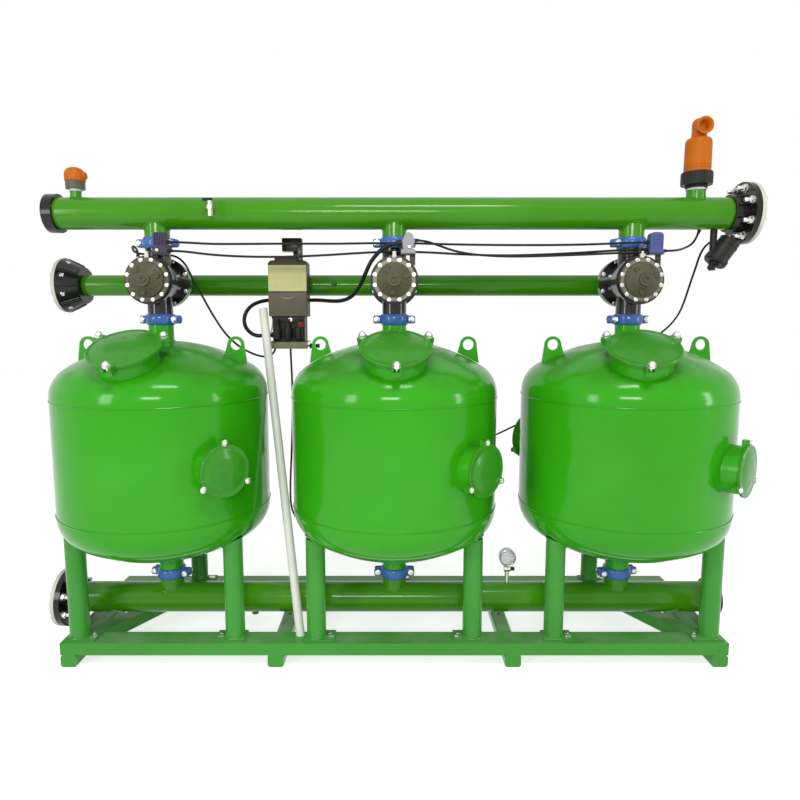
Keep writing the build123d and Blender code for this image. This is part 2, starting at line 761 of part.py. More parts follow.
stub_front = BARREL_BACK + REAR_FLANGE_T
with BuildPart() as flush_manifold:
    with BuildSketch(Plane.YZ.offset(-FLUSH_LEFT)):
        with Locations((FLUSH_Y, FLUSH_Z)):
            Circle(FLUSH_R)
    extrude(amount=FLUSH_LEFT + FLUSH_RIGHT)
    with BuildSketch(Plane.XZ.offset(-stub_front)):
        with Locations(*[(x, FLUSH_Z) for x in TANK_X]):
            Circle(REAR_FLANGE_R)
    extrude(amount=-REAR_FLANGE_T)
    with BuildSketch(Plane.XZ.offset(-stub_front)):
        with Locations(*[(x, FLUSH_Z) for x in TANK_X]):
            Circle(BRANCH_BORE_R)
    extrude(amount=stub_front - FLUSH_Y)
    with BuildSketch(Plane.YZ.offset(-FLUSH_LEFT)):
        with Locations((FLUSH_Y, FLUSH_Z)):
            Circle(FLUSH_R - PIPE_WALL)
    extrude(amount=FLUSH_LEFT + FLUSH_RIGHT - PIPE_WALL, mode=Mode.SUBTRACT)
    with BuildSketch(Plane.XZ.offset(-stub_front)):
        with Locations(*[(x, FLUSH_Z) for x in TANK_X]):
            Circle(BRANCH_BORE_R - PIPE_WALL)
    extrude(amount=stub_front - FLUSH_Y, mode=Mode.SUBTRACT)
save(flush_manifold, "flush_manifold")

# Grooved couplings, two halves with a lug at each end
joints = []
for z in (UPPER_JOINT_Z, VALVE_JOINT_Z, LOWER_JOINT_Z):
    for x in TANK_X:
        joints.append((x, z, math.copysign(OUTER_COUPLING_TURN, x) if x else 0.0))
with BuildPart() as coupling_halves:
    for x, z, turn in joints:
        with BuildSketch(Plane(origin=(x, 0, z - COUPLING_H / 2), x_dir=turned(turn + 90), z_dir=(0, 0, 1))):
            Circle(COUPLING_OD / 2)
            Rectangle(2 * COUPLING_LUG_REACH, COUPLING_SPLIT + 2 * COUPLING_LUG_T)
            Circle(BRANCH_R + SEAT_GAP, mode=Mode.SUBTRACT)
            Rectangle(2 * COUPLING_LUG_REACH, COUPLING_SPLIT, mode=Mode.SUBTRACT)
        extrude(amount=COUPLING_H)
save(coupling_halves, "coupling_halves")

bolt_planes = []
for x, z, turn in joints:
    along = turned(turn + 90)
    out = turned(turn)
    face = COUPLING_SPLIT / 2 + COUPLING_LUG_T
    for side in (-1, 1):
        for half in (-1, 1):
            spot = Vector(x, 0, z) + along * (side * COUPLING_BOLT_AT) + out * (half * face)
            bolt_planes.append(Plane(origin=spot, x_dir=along, z_dir=out * half))
coupling_bolts = BuildPart()
with coupling_bolts:
    add(hexes(bolt_planes, M12_HALF, M12_H))
save(coupling_bolts, "coupling_bolts")

# Valve bodies
with BuildPart() as valve_bodies:
    with BuildSketch(Plane.XZ.offset(-BODY_FRONT)):
        with Locations(*[(x, VALVE_Z) for x in TANK_X]):
            Circle(BODY_FLANGE_R)
    extrude(amount=-BODY_FLANGE_T)
    with BuildSketch(Plane.XZ.offset(-BODY_FRONT)):
        with Locations(*[(x, VALVE_Z) for x in TANK_X]):
            Circle(BARREL_R)
    extrude(amount=BODY_FRONT - BARREL_BACK)
    with BuildSketch(Plane.XZ.offset(-BARREL_BACK)):
        with Locations(*[(x, VALVE_Z) for x in TANK_X]):
            Circle(REAR_FLANGE_R)
    extrude(amount=-REAR_FLANGE_T)
    with BuildSketch(Plane.XY.offset(VALVE_JOINT_Z + PIPE_END_GAP / 2)):
        with Locations(*[(x, 0) for x in TANK_X]):
            Circle(BRANCH_R)
    extrude(amount=UPPER_JOINT_Z - VALVE_JOINT_Z - PIPE_END_GAP)
    with BuildSketch(Plane.XZ.offset(-BODY_FRONT)):
        with Locations(*[(x, VALVE_Z) for x in TANK_X]):
            Circle(BARREL_BORE_R)
    extrude(amount=BODY_FRONT - BARREL_BACK + PORT_WALL, mode=Mode.SUBTRACT)
    with BuildSketch(Plane.XZ.offset(-BODY_FRONT)):
        with Locations(*[(x, VALVE_Z) for x in TANK_X]):
            Circle(BRANCH_BORE_R - PIPE_WALL)
    extrude(amount=BODY_FRONT - BARREL_BACK - REAR_FLANGE_T, mode=Mode.SUBTRACT)
    with BuildSketch(Plane.XY.offset(VALVE_JOINT_Z)):
        with Locations(*[(x, 0) for x in TANK_X]):
            Circle(BRANCH_BORE_R)
    extrude(amount=UPPER_JOINT_Z - VALVE_JOINT_Z, mode=Mode.SUBTRACT)
save(valve_bodies, "valve_bodies")

# Valve bonnets: rim, stepped face and a boss at the front
with BuildPart() as valve_bonnets:
    for x in TANK_X:
        with BuildSketch(Plane(origin=(x, 0, VALVE_Z), x_dir=(1, 0, 0), z_dir=(0, 0, 1))):
            with BuildLine():
                Polyline(
                    (0, BODY_FRONT), (BONNET_R, BODY_FRONT), (BONNET_R, BODY_FRONT - BONNET_T),
                    (BONNET_STEP_R, BODY_FRONT - BONNET_T),
                    (BONNET_STEP_R, BODY_FRONT - BONNET_T - BONNET_STEP_T),
                    (BONNET_BOSS_R, BONNET_FRONT + BONNET_STEP_T),
                    (BONNET_BOSS_R, BONNET_FRONT), (0, BONNET_FRONT), close=True,
                )
            make_face()
        revolve(axis=Axis((x, 0, VALVE_Z), (0, 1, 0)))
save(valve_bonnets, "valve_bonnets")

bonnet_planes = []
rear_planes = []
for x in TANK_X:
    face = Plane(origin=(x, BODY_FRONT - BONNET_T, VALVE_Z), x_dir=(1, 0, 0), z_dir=(0, -1, 0))
    bonnet_planes += ring_planes(face, BONNET_PCD / 2, BONNET_BOLTS, 180 / BONNET_BOLTS)
    face = Plane(origin=(x, BARREL_BACK, VALVE_Z), x_dir=(1, 0, 0), z_dir=(0, -1, 0))
    rear_planes += ring_planes(face, REAR_PCD / 2 + M12_HALF / 2, REAR_BOLTS, 180 / REAR_BOLTS)
bonnet_bolts = BuildPart()
with bonnet_bolts:
    add(hexes(bonnet_planes, M8_HALF, M8_H))
save(bonnet_bolts, "bonnet_bolts")


def make_plunger(x):
    """Piston disc, stem and seal disc of one valve, on an axis along Y."""
    with BuildPart() as plunger:
        with BuildSketch(Plane.XZ.offset(-PLUNGER_FRONT)):
            with Locations((x, VALVE_Z)):
                Circle(BARREL_BORE_R - SEAT_GAP)
        extrude(amount=-PLUNGER_T)
        with BuildSketch(Plane.XZ.offset(-PLUNGER_FRONT)):
            with Locations((x, VALVE_Z)):
                Circle(PLUNGER_STEM_R)
        extrude(amount=PLUNGER_FRONT - PLUNGER_SEAL_Y)
        with BuildSketch(Plane.XZ.offset(-PLUNGER_SEAL_Y)):
            with Locations((x, VALVE_Z)):
                Circle(PLUNGER_SEAL_R)
        extrude(amount=-PLUNGER_T)
    return plunger


valve_plunger_left = make_plunger(TANK_X[0])
save(valve_plunger_left, "valve_plunger_left")
valve_plunger_middle = make_plunger(TANK_X[1])
save(valve_plunger_middle, "valve_plunger_middle")
valve_plunger_right = make_plunger(TANK_X[2])
save(valve_plunger_right, "valve_plunger_right")

# Relays on shelves that hang from the bonnets' flanges
with BuildPart() as relay_brackets:
    for x in TANK_X:
        with BuildSketch(Plane.XY.offset(RELAY_SHELF_Z)):
            with Locations((x + RELAY_X, RELAY_FRONT + RELAY_D / 2)):
                Rectangle(RELAY_W, RELAY_D)
        extrude(amount=SHEET_T)
        with BuildSketch(Plane.XZ.offset(-BODY_FRONT - BODY_FLANGE_T)):
            with BuildLine():
                Polyline(
                    (x + RELAY_LEG_IN, RELAY_SHELF_Z), (x + RELAY_X + RELAY_W / 2, RELAY_SHELF_Z),
                    (x + RELAY_X + RELAY_W / 2, VALVE_Z + RELAY_LEG_DROP),
                    (x + RELAY_LEG_IN, VALVE_Z + RELAY_LEG_DROP), close=True,
                )
            make_face()
        extrude(amount=-SHEET_T)
save(relay_brackets, "relay_brackets")

with BuildPart() as valve_relays:
    for x in TANK_X:
        with BuildSketch(Plane.XY.offset(RELAY_SHELF_Z + SHEET_T)):
            with Locations((x + RELAY_X, RELAY_FRONT + RELAY_D / 2)):
                Rectangle(RELAY_W, RELAY_D)
        extrude(amount=RELAY_BASE_H)
        with BuildSketch(Plane.XY.offset(RELAY_SHELF_Z + SHEET_T + RELAY_BASE_H)):
            with Locations((x + RELAY_X, RELAY_FRONT + RELAY_D / 2)):
                Rectangle(RELAY_W - RELAY_STEP, RELAY_D - RELAY_STEP)
        extrude(amount=RELAY_H - RELAY_BASE_H)
save(valve_relays, "valve_relays")

# Flange sets, drawn along X outward from each manifold end
ends = []
for side, z in ((1, INLET_Z), (-1, OUTLET_Z)):
    ends.append((side, 0.0, z))


def end_plane(side, x, y, z):
    """Plane across a manifold end, facing outward."""
    return Plane(origin=(side * x, y, z), x_dir=(0, side, 0), z_dir=(side, 0, 0))


adapter_start = MANIFOLD_END + PIPE_END_GAP
flange_x = MANIFOLD_END + COLLAR_L / 2
counter_x = flange_x + FLANGE_T
cone_x = FLUSH_LEFT + CONE_L
with BuildPart() as end_collars:
    for side, y, z in ends:
        with BuildSketch(end_plane(side, MANIFOLD_END - COLLAR_L / 2, y, z)):
            Circle(COLLAR_OD / 2)
            Circle(MANIFOLD_R + SEAT_GAP, mode=Mode.SUBTRACT)
        extrude(amount=COLLAR_L)
save(end_collars, "end_collars")

with BuildPart() as flange_adapters:
    for side, y, z in ends:
        with BuildSketch(end_plane(side, adapter_start, y, z)):
            Circle(MANIFOLD_R)
        extrude(amount=flange_x - adapter_start)
        with BuildSketch(end_plane(side, flange_x, y, z)):
            Circle(FLANGE_OD / 2)
        extrude(amount=FLANGE_T)
        with BuildSketch(end_plane(side, adapter_start, y, z)):
            Circle(MANIFOLD_R - PIPE_WALL)
        extrude(amount=counter_x - adapter_start, mode=Mode.SUBTRACT)
    with BuildSketch(end_plane(-1, FLUSH_LEFT, FLUSH_Y, FLUSH_Z)):
        Circle(CONE_START_R)
    with BuildSketch(end_plane(-1, cone_x, FLUSH_Y, FLUSH_Z)):
        Circle(FLANGE_OD / 2)
    loft()
    with BuildSketch(end_plane(-1, FLUSH_LEFT, FLUSH_Y, FLUSH_Z)):
        Circle(FLUSH_R - PIPE_WALL)
    extrude(amount=CONE_L, mode=Mode.SUBTRACT)
save(flange_adapters, "flange_adapters")

with BuildPart() as counter_flanges:
    for side, y, z in ends:
        with BuildSketch(end_plane(side, counter_x, y, z)):
            Circle(COUNTER_OD / 2)
            Circle(COUNTER_BORE_R, mode=Mode.SUBTRACT)
        extrude(amount=COUNTER_T)
    with BuildSketch(end_plane(-1, cone_x, FLUSH_Y, FLUSH_Z)):
        Circle(COUNTER_OD / 2)
        Circle(FLUSH_BORE_R, mode=Mode.SUBTRACT)
    extrude(amount=COUNTER_T)
save(counter_flanges, "counter_flanges")

end_bolt_planes = []
for side, y, z in ends:
    face = end_plane(side, counter_x + COUNTER_T, y, z)
    end_bolt_planes += ring_planes(face, FLANGE_PCD / 2, FLANGE_BOLTS, 180 / FLANGE_BOLTS)
face = end_plane(-1, cone_x + COUNTER_T, FLUSH_Y, FLUSH_Z)
end_bolt_planes += ring_planes(face, FLANGE_PCD / 2, FLANGE_BOLTS, 180 / FLANGE_BOLTS)
cap_bolt_planes = []
cap_x = MANIFOLD_END + CAP_L / 2
for side, z in ((-1, INLET_Z), (1, OUTLET_Z)):
    face = end_plane(side, cap_x + CAP_COVER_T, 0, z)
    cap_bolt_planes += ring_planes(face, CAP_PCD / 2, 4, 45)
with BuildPart() as flange_bolts:
    add(hexes(rear_planes, M8_HALF, M8_H))
    add(hexes(end_bolt_planes, M16_HALF, M16_H))
    add(hexes(cap_bolt_planes, M12_HALF, M12_H))
save(flange_bolts, "flange_bolts")

with BuildPart() as end_caps:
    for side, z in ((-1, INLET_Z), (1, OUTLET_Z)):
        with BuildSketch(end_plane(side, MANIFOLD_END - CAP_L / 2, 0, z)):
            Circle(CAP_OD / 2)
        extrude(amount=CAP_L)
        with BuildSketch(end_plane(side, cap_x, 0, z)):
            Circle(CAP_COVER_R)
        extrude(amount=CAP_COVER_T)
        with BuildSketch(end_plane(side, MANIFOLD_END - CAP_L / 2, 0, z)):
            Circle(MANIFOLD_R + SEAT_GAP)
        extrude(amount=CAP_L / 2, mode=Mode.SUBTRACT)
save(end_caps, "end_caps")

# Large air valve: threaded base, body with its float, and a mouth that faces the front
air_seat = AIR_NECK_TOP + AIR_WALL
with BuildPart() as air_valve_base:
    with BuildSketch(Plane.XY.offset(AIR_STUB_TOP)):
        with Locations((AIR_X, 0)):
            RegularPolygon(AIR_NECK_HALF, 6, major_radius=False)
    extrude(amount=AIR_NECK_TOP - AIR_STUB_TOP)
    with BuildSketch(Plane.XY.offset(AIR_NECK_TOP)):
        with Locations((AIR_X, 0)):
            Circle(AIR_RING_R)
    extrude(amount=AIR_RING_TOP - AIR_NECK_TOP)
    with BuildSketch(Plane.XY.offset(air_seat)):
        with Locations((AIR_X, 0)):
            Circle(AIR_BODY_R - AIR_WALL)
    extrude(amount=AIR_RING_TOP - air_seat, mode=Mode.SUBTRACT)
    with BuildSketch(Plane.XY.offset(AIR_STUB_TOP)):
        with Locations((AIR_X, 0)):
            Circle(FLOAT_R / 2)
    extrude(amount=air_seat - AIR_STUB_TOP, mode=Mode.SUBTRACT)
save(air_valve_base, "air_valve_base")

with BuildPart() as air_valve_body:
    with BuildSketch(Plane(origin=(AIR_X, 0, 0), x_dir=(1, 0, 0), z_dir=(0, -1, 0))):
        with BuildLine():
            Polyline(
                (0, AIR_BODY_TOP - AIR_WALL), (AIR_BODY_R - AIR_WALL, AIR_BODY_TOP - AIR_WALL),
                (AIR_BODY_R - AIR_WALL, AIR_RING_TOP), (AIR_BODY_R, AIR_RING_TOP),
                (AIR_BODY_R, AIR_BODY_TOP), (AIR_NECK_R, AIR_BODY_TOP + AIR_WALL),
                (AIR_NECK_R, AIR_TOP), (0, AIR_TOP), close=True,
            )
        make_face()
    revolve(axis=Axis((AIR_X, 0, 0), (0, 0, 1)))
    with BuildSketch(Plane.XZ.offset(-AIR_MOUTH_FRONT)):
        with Locations((AIR_X, AIR_MOUTH_Z)):
            Circle(AIR_MOUTH_R)
    extrude(amount=AIR_MOUTH_FRONT - AIR_MOUTH_R)
    with BuildSketch(Plane.XZ.offset(-AIR_MOUTH_FRONT)):
        with Locations((AIR_X, AIR_MOUTH_Z)):
            Circle(AIR_MOUTH_BORE_R)
    extrude(amount=AIR_MOUTH_FRONT, mode=Mode.SUBTRACT)
save(air_valve_body, "air_valve_body")

with BuildPart() as air_valve_float:
    with BuildSketch(Plane.XY.offset(air_seat)):
        with Locations((AIR_X, 0)):
            Circle(FLOAT_R)
    extrude(amount=FLOAT_H)
save(air_valve_float, "air_valve_float")

# Small air valve
with BuildPart() as small_air_valve_base:
    with BuildSketch(Plane.XY.offset(SMALL_STUB_TOP)):
        with Locations((SMALL_AIR_X, 0)):
            Circle(SMALL_STUB_R)
    extrude(amount=SMALL_COLLAR_H)
    with BuildSketch(Plane.XY.offset(SMALL_STUB_TOP + SMALL_COLLAR_H)):
        with Locations((SMALL_AIR_X, 0)):
            Circle(SMALL_BASE_R)
    extrude(amount=SMALL_BASE_TOP - SMALL_STUB_TOP - SMALL_COLLAR_H)
save(small_air_valve_base, "small_air_valve_base")

with BuildPart() as small_air_valve_cap:
    with BuildSketch(Plane(origin=(SMALL_AIR_X, 0, 0), x_dir=(1, 0, 0), z_dir=(0, -1, 0))):
        with BuildLine():
            Polyline(
                (0, SMALL_BASE_TOP), (SMALL_CAP_R, SMALL_BASE_TOP),
                (SMALL_CAP_R, SMALL_BASE_TOP + SMALL_CAP_SIDE), (SMALL_CAP_R * 0.7, SMALL_CAP_TOP - 8),
                (0, SMALL_CAP_TOP), close=True,
            )
        make_face()
    revolve(axis=Axis((SMALL_AIR_X, 0, 0), (0, 0, 1)))
    with BuildSketch(Plane.YZ.offset(SMALL_AIR_X)):
        with Locations((0, SMALL_BASE_TOP + SMALL_CAP_SIDE / 2)):
            Circle(SMALL_CAP_SIDE / 2)
    extrude(amount=SMALL_CAP_R + 6)
save(small_air_valve_cap, "small_air_valve_cap")

# Controller: case, hinged door above, fixed cover below, valve block and the bracket behind
box_left = BOX_X - BOX_W / 2
case_front = BOX_FRONT + DOOR_T
with BuildPart() as controller_case:
    with BuildSketch(Plane.XZ.offset(-case_front)):
        with Locations((BOX_X, (BOX_BOTTOM + BOX_TOP) / 2)):
            Rectangle(BOX_W, BOX_TOP - BOX_BOTTOM)
    extrude(amount=case_front - BOX_BACK)
    fillet(controller_case.edges().filter_by(Axis.Y).group_by(Axis.Z)[-1], BOX_ROUND)
    with BuildSketch(Plane.XZ.offset(-case_front)):
        with Locations((BOX_X, (DOOR_BOTTOM + BOX_TOP) / 2)):
            Rectangle(BOX_W - 2 * BOX_ROUND, BOX_TOP - DOOR_BOTTOM - 2 * BOX_ROUND)
    extrude(amount=-BOX_RECESS, mode=Mode.SUBTRACT)
    with BuildSketch(Plane.YZ.offset(BOX_X - DOOR_LUG_GRIP)):
        with Locations((DOOR_PIN_Y, DOOR_PIN_Z)):
            Circle(DOOR_PIN_R)
    extrude(amount=2 * DOOR_LUG_GRIP)
    for side in (-1, 1):
        with BuildSketch(Plane.YZ.offset(BOX_X + side * DOOR_LUG_GRIP)):
            with Locations((DOOR_PIN_Y + BOX_RECESS / 2 - DOOR_LUG_R, (DOOR_PIN_Z + DOOR_LUG_R + BOX_TOP - 1) / 2)):
                Rectangle(BOX_RECESS, DOOR_PIN_Z + DOOR_LUG_R - BOX_TOP + 1)
        extrude(amount=side * DOOR_LUG_T)
save(controller_case, "controller_case")

with BuildPart() as controller_door:
    with BuildSketch(Plane.XZ.offset(-case_front + DOOR_GAP)):
        with Locations((BOX_X, (DOOR_BOTTOM + BOX_TOP - DOOR_TOP_GAP) / 2)):
            Rectangle(BOX_W, BOX_TOP - DOOR_TOP_GAP - DOOR_BOTTOM)
    extrude(amount=DOOR_T - DOOR_GAP)
    with BuildSketch(Plane.YZ.offset(BOX_X - DOOR_LUG_GRIP + DOOR_GAP)):
        with Locations((DOOR_PIN_Y, DOOR_PIN_Z)):
            Circle(DOOR_LUG_R)
        with Locations((DOOR_PIN_Y, (DOOR_PIN_Z + BOX_TOP - DOOR_TOP_GAP) / 2)):
            Rectangle(2 * DOOR_LUG_R, DOOR_PIN_Z - BOX_TOP + DOOR_TOP_GAP)
        with Locations((DOOR_PIN_Y, DOOR_PIN_Z)):
            Circle(DOOR_PIN_R + PIN_GAP, mode=Mode.SUBTRACT)
    extrude(amount=2 * (DOOR_LUG_GRIP - DOOR_GAP))
save(controller_door, "controller_door")

with BuildPart() as controller_cover:
    with BuildSketch(Plane.XZ.offset(-case_front)):
        with Locations((BOX_X, (BOX_BOTTOM + DOOR_BOTTOM - DOOR_GAP) / 2)):
            Rectangle(BOX_W, DOOR_BOTTOM - DOOR_GAP - BOX_BOTTOM)
    extrude(amount=DOOR_T)
save(controller_cover, "controller_cover")

bracket_y = FLUSH_Y - FLUSH_R - SEAT_GAP - BRACKET_T
with BuildPart() as solenoid_block:
    with BuildSketch(Plane.XY.offset(BLOCK_BOTTOM)):
        with Locations((BOX_X, (case_front + bracket_y) / 2)):
            Rectangle(BLOCK_W, bracket_y - case_front)
    extrude(amount=BOX_BOTTOM - BLOCK_BOTTOM)
save(solenoid_block, "solenoid_block")

with BuildPart() as controller_bracket:
    with BuildSketch(Plane.XZ.offset(-bracket_y)):
        with Locations((BOX_X, (BRACKET_FOOT + BRACKET_TOP) / 2)):
            Rectangle(BRACKET_W, BRACKET_TOP - BRACKET_FOOT)
    extrude(amount=-BRACKET_T)
    with BuildSketch(Plane.XY.offset(BLOCK_BOTTOM - BRACKET_T)):
        with Locations((BOX_X, (BOX_FRONT + bracket_y) / 2)):
            Rectangle(BOX_W, bracket_y - BOX_FRONT)
    extrude(amount=BRACKET_T)
    with BuildSketch(Plane.XZ.offset(-BOX_FRONT)):
        with Locations((BOX_X, (BRACKET_FOOT + BLOCK_BOTTOM) / 2)):
            Rectangle(BOX_W, BLOCK_BOTTOM - BRACKET_FOOT)
    extrude(amount=-BRACKET_T)
    for side in (-1, 1):
        with BuildSketch(Plane.YZ.offset(BOX_X + side * BRACKET_W / 2)):
            with Locations((FLUSH_Y, FLUSH_Z)):
                Circle(FLUSH_R + SEAT_GAP + STRAP_T)
                Circle(FLUSH_R + SEAT_GAP, mode=Mode.SUBTRACT)
        extrude(amount=-side * STRAP_W)
save(controller_bracket, "controller_bracket")

# Gauge, its cock and knob
with BuildPart() as gauge_cock:
    with BuildSketch(Plane.XY.offset(OUTLET_Z + MANIFOLD_R + SEAT_GAP)):
        with Locations((GAUGE_X, 0)):
            Circle(GAUGE_STEM_R)
    extrude(amount=GAUGE_Z - GAUGE_R - OUTLET_Z - MANIFOLD_R - 2 * SEAT_GAP)
    with BuildSketch(Plane.YZ.offset(GAUGE_X - COCK_R)):
        with Locations((0, COCK_Z)):
            RegularPolygon(COCK_R, 6)
    extrude(amount=2 * COCK_R)
save(gauge_cock, "gauge_cock")

with BuildPart() as gauge_knob:
    with BuildSketch(Plane.YZ.offset(GAUGE_X + COCK_R + SEAT_GAP)):
        with Locations((0, COCK_Z)):
            Rectangle(2 * KNOB_R, KNOB_R)
            Circle(KNOB_HUB_R)
    extrude(amount=KNOB_L)
save(gauge_knob, "gauge_knob")

with BuildPart() as gauge_case:
    with BuildSketch(Plane.XZ.offset(GAUGE_D / 2)):
        with Locations((GAUGE_X, GAUGE_Z)):
            Circle(GAUGE_R)
    extrude(amount=-GAUGE_D)
    with BuildSketch(Plane.XZ.offset(GAUGE_D / 2)):
        with Locations((GAUGE_X, GAUGE_Z)):
            Circle(GAUGE_R - GAUGE_RIM)
    extrude(amount=-DIAL_DEPTH, mode=Mode.SUBTRACT)
save(gauge_case, "gauge_case")

dial_y = -GAUGE_D / 2 + DIAL_DEPTH
point = Vector(math.sin(math.radians(NEEDLE_TURN)), math.cos(math.radians(NEEDLE_TURN)), 0)
across = Vector(point.Y, -point.X, 0) * NEEDLE_W
pivot = Vector(GAUGE_X, GAUGE_Z, 0)
with BuildPart() as gauge_needle:
    with BuildSketch(Plane.XZ.offset(-dial_y + SEAT_GAP)):
        with Locations((GAUGE_X, GAUGE_Z)):
            RegularPolygon(NEEDLE_HUB, 8)
        with BuildLine():
            Polyline(pivot - across, pivot + across, pivot + point * NEEDLE_L, close=True)
        make_face()
    extrude(amount=NEEDLE_T)
save(gauge_needle, "gauge_needle")

# Sampling tap and its handle
with BuildPart() as sampling_tap:
    with BuildSketch(Plane.XZ.offset(MANIFOLD_R + TAP_REACH)):
        with Locations((TAP_X, TAP_Z)):
            Circle(TAP_R)
    extrude(amount=SEAT_GAP - TAP_REACH)
    with BuildSketch(Plane.XY.offset(TAP_Z - TAP_SPOUT)):
        with Locations((TAP_X, -MANIFOLD_R - TAP_REACH + TAP_R)):
            RegularPolygon(TAP_R, 6)
    extrude(amount=TAP_SPOUT + TAP_STEM)
save(sampling_tap, "sampling_tap")

with BuildPart() as tap_handle:
    with BuildSketch(Plane.XY.offset(TAP_Z + TAP_STEM + SEAT_GAP)):
        with Locations((TAP_X - TAP_HANDLE_L / 4, -MANIFOLD_R - TAP_REACH + TAP_R)):
            Rectangle(TAP_HANDLE_L, TAP_R)
        with Locations((TAP_X, -MANIFOLD_R - TAP_REACH + TAP_R)):
            Circle(TAP_HUB_R)
    extrude(amount=TAP_R)
save(tap_handle, "tap_handle")

# Command filter hanging from the inlet manifold
with BuildPart() as command_filter:
    with BuildSketch(Plane.XY.offset(FILTER_BOTTOM)):
        with Locations((FILTER_X, 0)):
            Circle(FILTER_PIPE_R)
    extrude(amount=INLET_Z - MANIFOLD_R - SEAT_GAP - FILTER_BOTTOM)
    lean = math.radians(FILTER_LEAN)
    way = Vector(math.sin(lean), 0, math.cos(lean))
    start = Vector(FILTER_X + FILTER_OFF, 0, FILTER_LOW)
    with BuildSketch(Plane(origin=start, x_dir=(0, 1, 0), z_dir=way)):
        Circle(FILTER_R)
    extrude(amount=FILTER_L)
save(command_filter, "command_filter")

# Leaning drain pipe
drain_way = Vector(*DRAIN_TOP) - Vector(*DRAIN_FOOT)
drain_start = Vector(*DRAIN_FOOT) - drain_way.normalized() * DRAIN_OD
with BuildPart() as drain_pipe:
    with BuildSketch(Plane(origin=drain_start, x_dir=(0, 1, 0), z_dir=drain_way)):
        Circle(DRAIN_OD / 2)
        Circle(DRAIN_OD / 2 - DRAIN_WALL, mode=Mode.SUBTRACT)
    extrude(amount=drain_way.length + DRAIN_OD)
    split(bisect_by=Plane.XY.offset(RAIL_TOP), keep=Keep.TOP)
save(drain_pipe, "drain_pipe")


def corner_radii(points):
    """Bend radius at each corner of a tube, as large as its two runs allow."""
    radii = []
    for a, b, c in zip(points, points[1:], points[2:]):
        before = Vector(*b) - Vector(*a)
        after = Vector(*c) - Vector(*b)
        half_turn = math.radians(before.get_angle(after)) / 2
        radii.append(0.45 * min(before.length, after.length) / math.tan(half_turn))
    return radii


def make_tube(points, od):
    """A tube along straight runs joined by tangent arcs."""
    radii = corner_radii(points)
    with BuildPart() as tube:
        with BuildLine() as route:
            FilletPolyline(*points, radius=radii)
        with BuildSketch(Plane(origin=points[0], z_dir=route.line % 0)):
            RegularPolygon(od / 2, TUBE_SIDES, major_radius=False)
        sweep()
    length = sum(edge.length for edge in route.edges())
    section = TUBE_SIDES * (od / 2) ** 2 * math.tan(math.pi / TUBE_SIDES)
    share = tube.part.volume / (section * length)
    print("length", round(length), "least radius", round(min(radii)), "volume share", round(share, 4))
    return tube


# Command tubes, the supply tube, the cable conduit and the drain hose.
tube_upper_run = make_tube(
    [
        (-794, -98, 1512), (-745, -98, 1512), (-655, -76, 1508), (-530, -66, 1509.5), (-360, -64, 1511),
        (-200, -66, 1510), (-70, -67, 1512.5), (60, -66, 1512), (210, -64, 1508), (380, -62, 1506),
        (560, -66, 1505.5), (700, -74, 1507), (800, -90, 1510), (844, -98, 1511), (890, -98, 1511),
    ],
    TUBE_OD,
)
save(tube_upper_run, "tube_upper_run")

tube_lower_run = make_tube(
    [
        (-791, -98, 1482), (-745, -98, 1482), (-655, -77, 1471), (-540, -68, 1465), (-400, -66, 1464),
        (-270, -64, 1469), (-140, -66, 1477), (-20, -68, 1483), (110, -67, 1481), (240, -66, 1473),
        (380, -65, 1469), (520, -66, 1472), (650, -70, 1478), (760, -82, 1484), (838, -98, 1487),
        (887, -98, 1487),
    ],
    TUBE_OD,
)
save(tube_lower_run, "tube_lower_run")

tube_middle_relay = make_tube(
    [
        (71, -98, 1518), (104, -98, 1518), (155, -88, 1502), (215, -80, 1482), (290, -77, 1470),
        (400, -76, 1464), (520, -77, 1466), (650, -81, 1470), (760, -94, 1474), (838, -110, 1476),
        (887, -110, 1476),
    ],
    TUBE_OD,
)
save(tube_middle_relay, "tube_middle_relay")

tube_right_relay = make_tube(
    [
        (939, -98, 1482), (968, -98, 1482), (1002, -74, 1487), (1036, -34, 1495), (1068, 6, 1505),
        (1100, 30, 1518), (1120, 35, 1543), (1124, 23.2, 1571.8),
    ],
    TUBE_OD,
)
save(tube_right_relay, "tube_right_relay")

tube_supply = make_tube(
    [
        (1165, 12.6, 1524), (1165, 44, 1524), (1160, 82, 1492), (1159, 112, 1436), (1165, 168, 1370),
        (1180, 240, 1302), (1187, 310, 1248), (1168, 370, 1196), (1112, 404, 1146), (1020, 416, 1076),
        (880, 421, 972), (720, 422, 866), (540, 422, 768), (370, 422, 688), (220, 421, 612),
        (70, 416, 530), (-80, 398, 452), (-215, 352, 396), (-325, 282, 366), (-398, 212, 392),
        (-426, 160, 468), (-420, 126, 580), (-408, 110, 740), (-400, 106, 900), (-402, 112, 1010),
        (-408, 134, 1078), (-412, 150, 1118), (-412, 150, 1154),
    ],
    TUBE_OD,
)
save(tube_supply, "tube_supply")

tube_left_valve = make_tube(
    [
        (-900, -95, 1461.2), (-900, -95, 1483), (-917, -84, 1500), (-936, -56, 1500), (-945, -18, 1487),
        (-942, 26, 1484), (-918, 64, 1486), (-876, 82, 1487), (-826, 78, 1482), (-788, 66, 1452), (-764, 62, 1400),
        (-730, 70, 1330), (-697, 80, 1262), (-656, 92, 1190), (-612, 108, 1142), (-560, 128, 1108),
        (-508, 146, 1092), (-470, 150, 1114), (-470, 150, 1154),
    ],
    TUBE_OD,
)
save(tube_left_valve, "tube_left_valve")

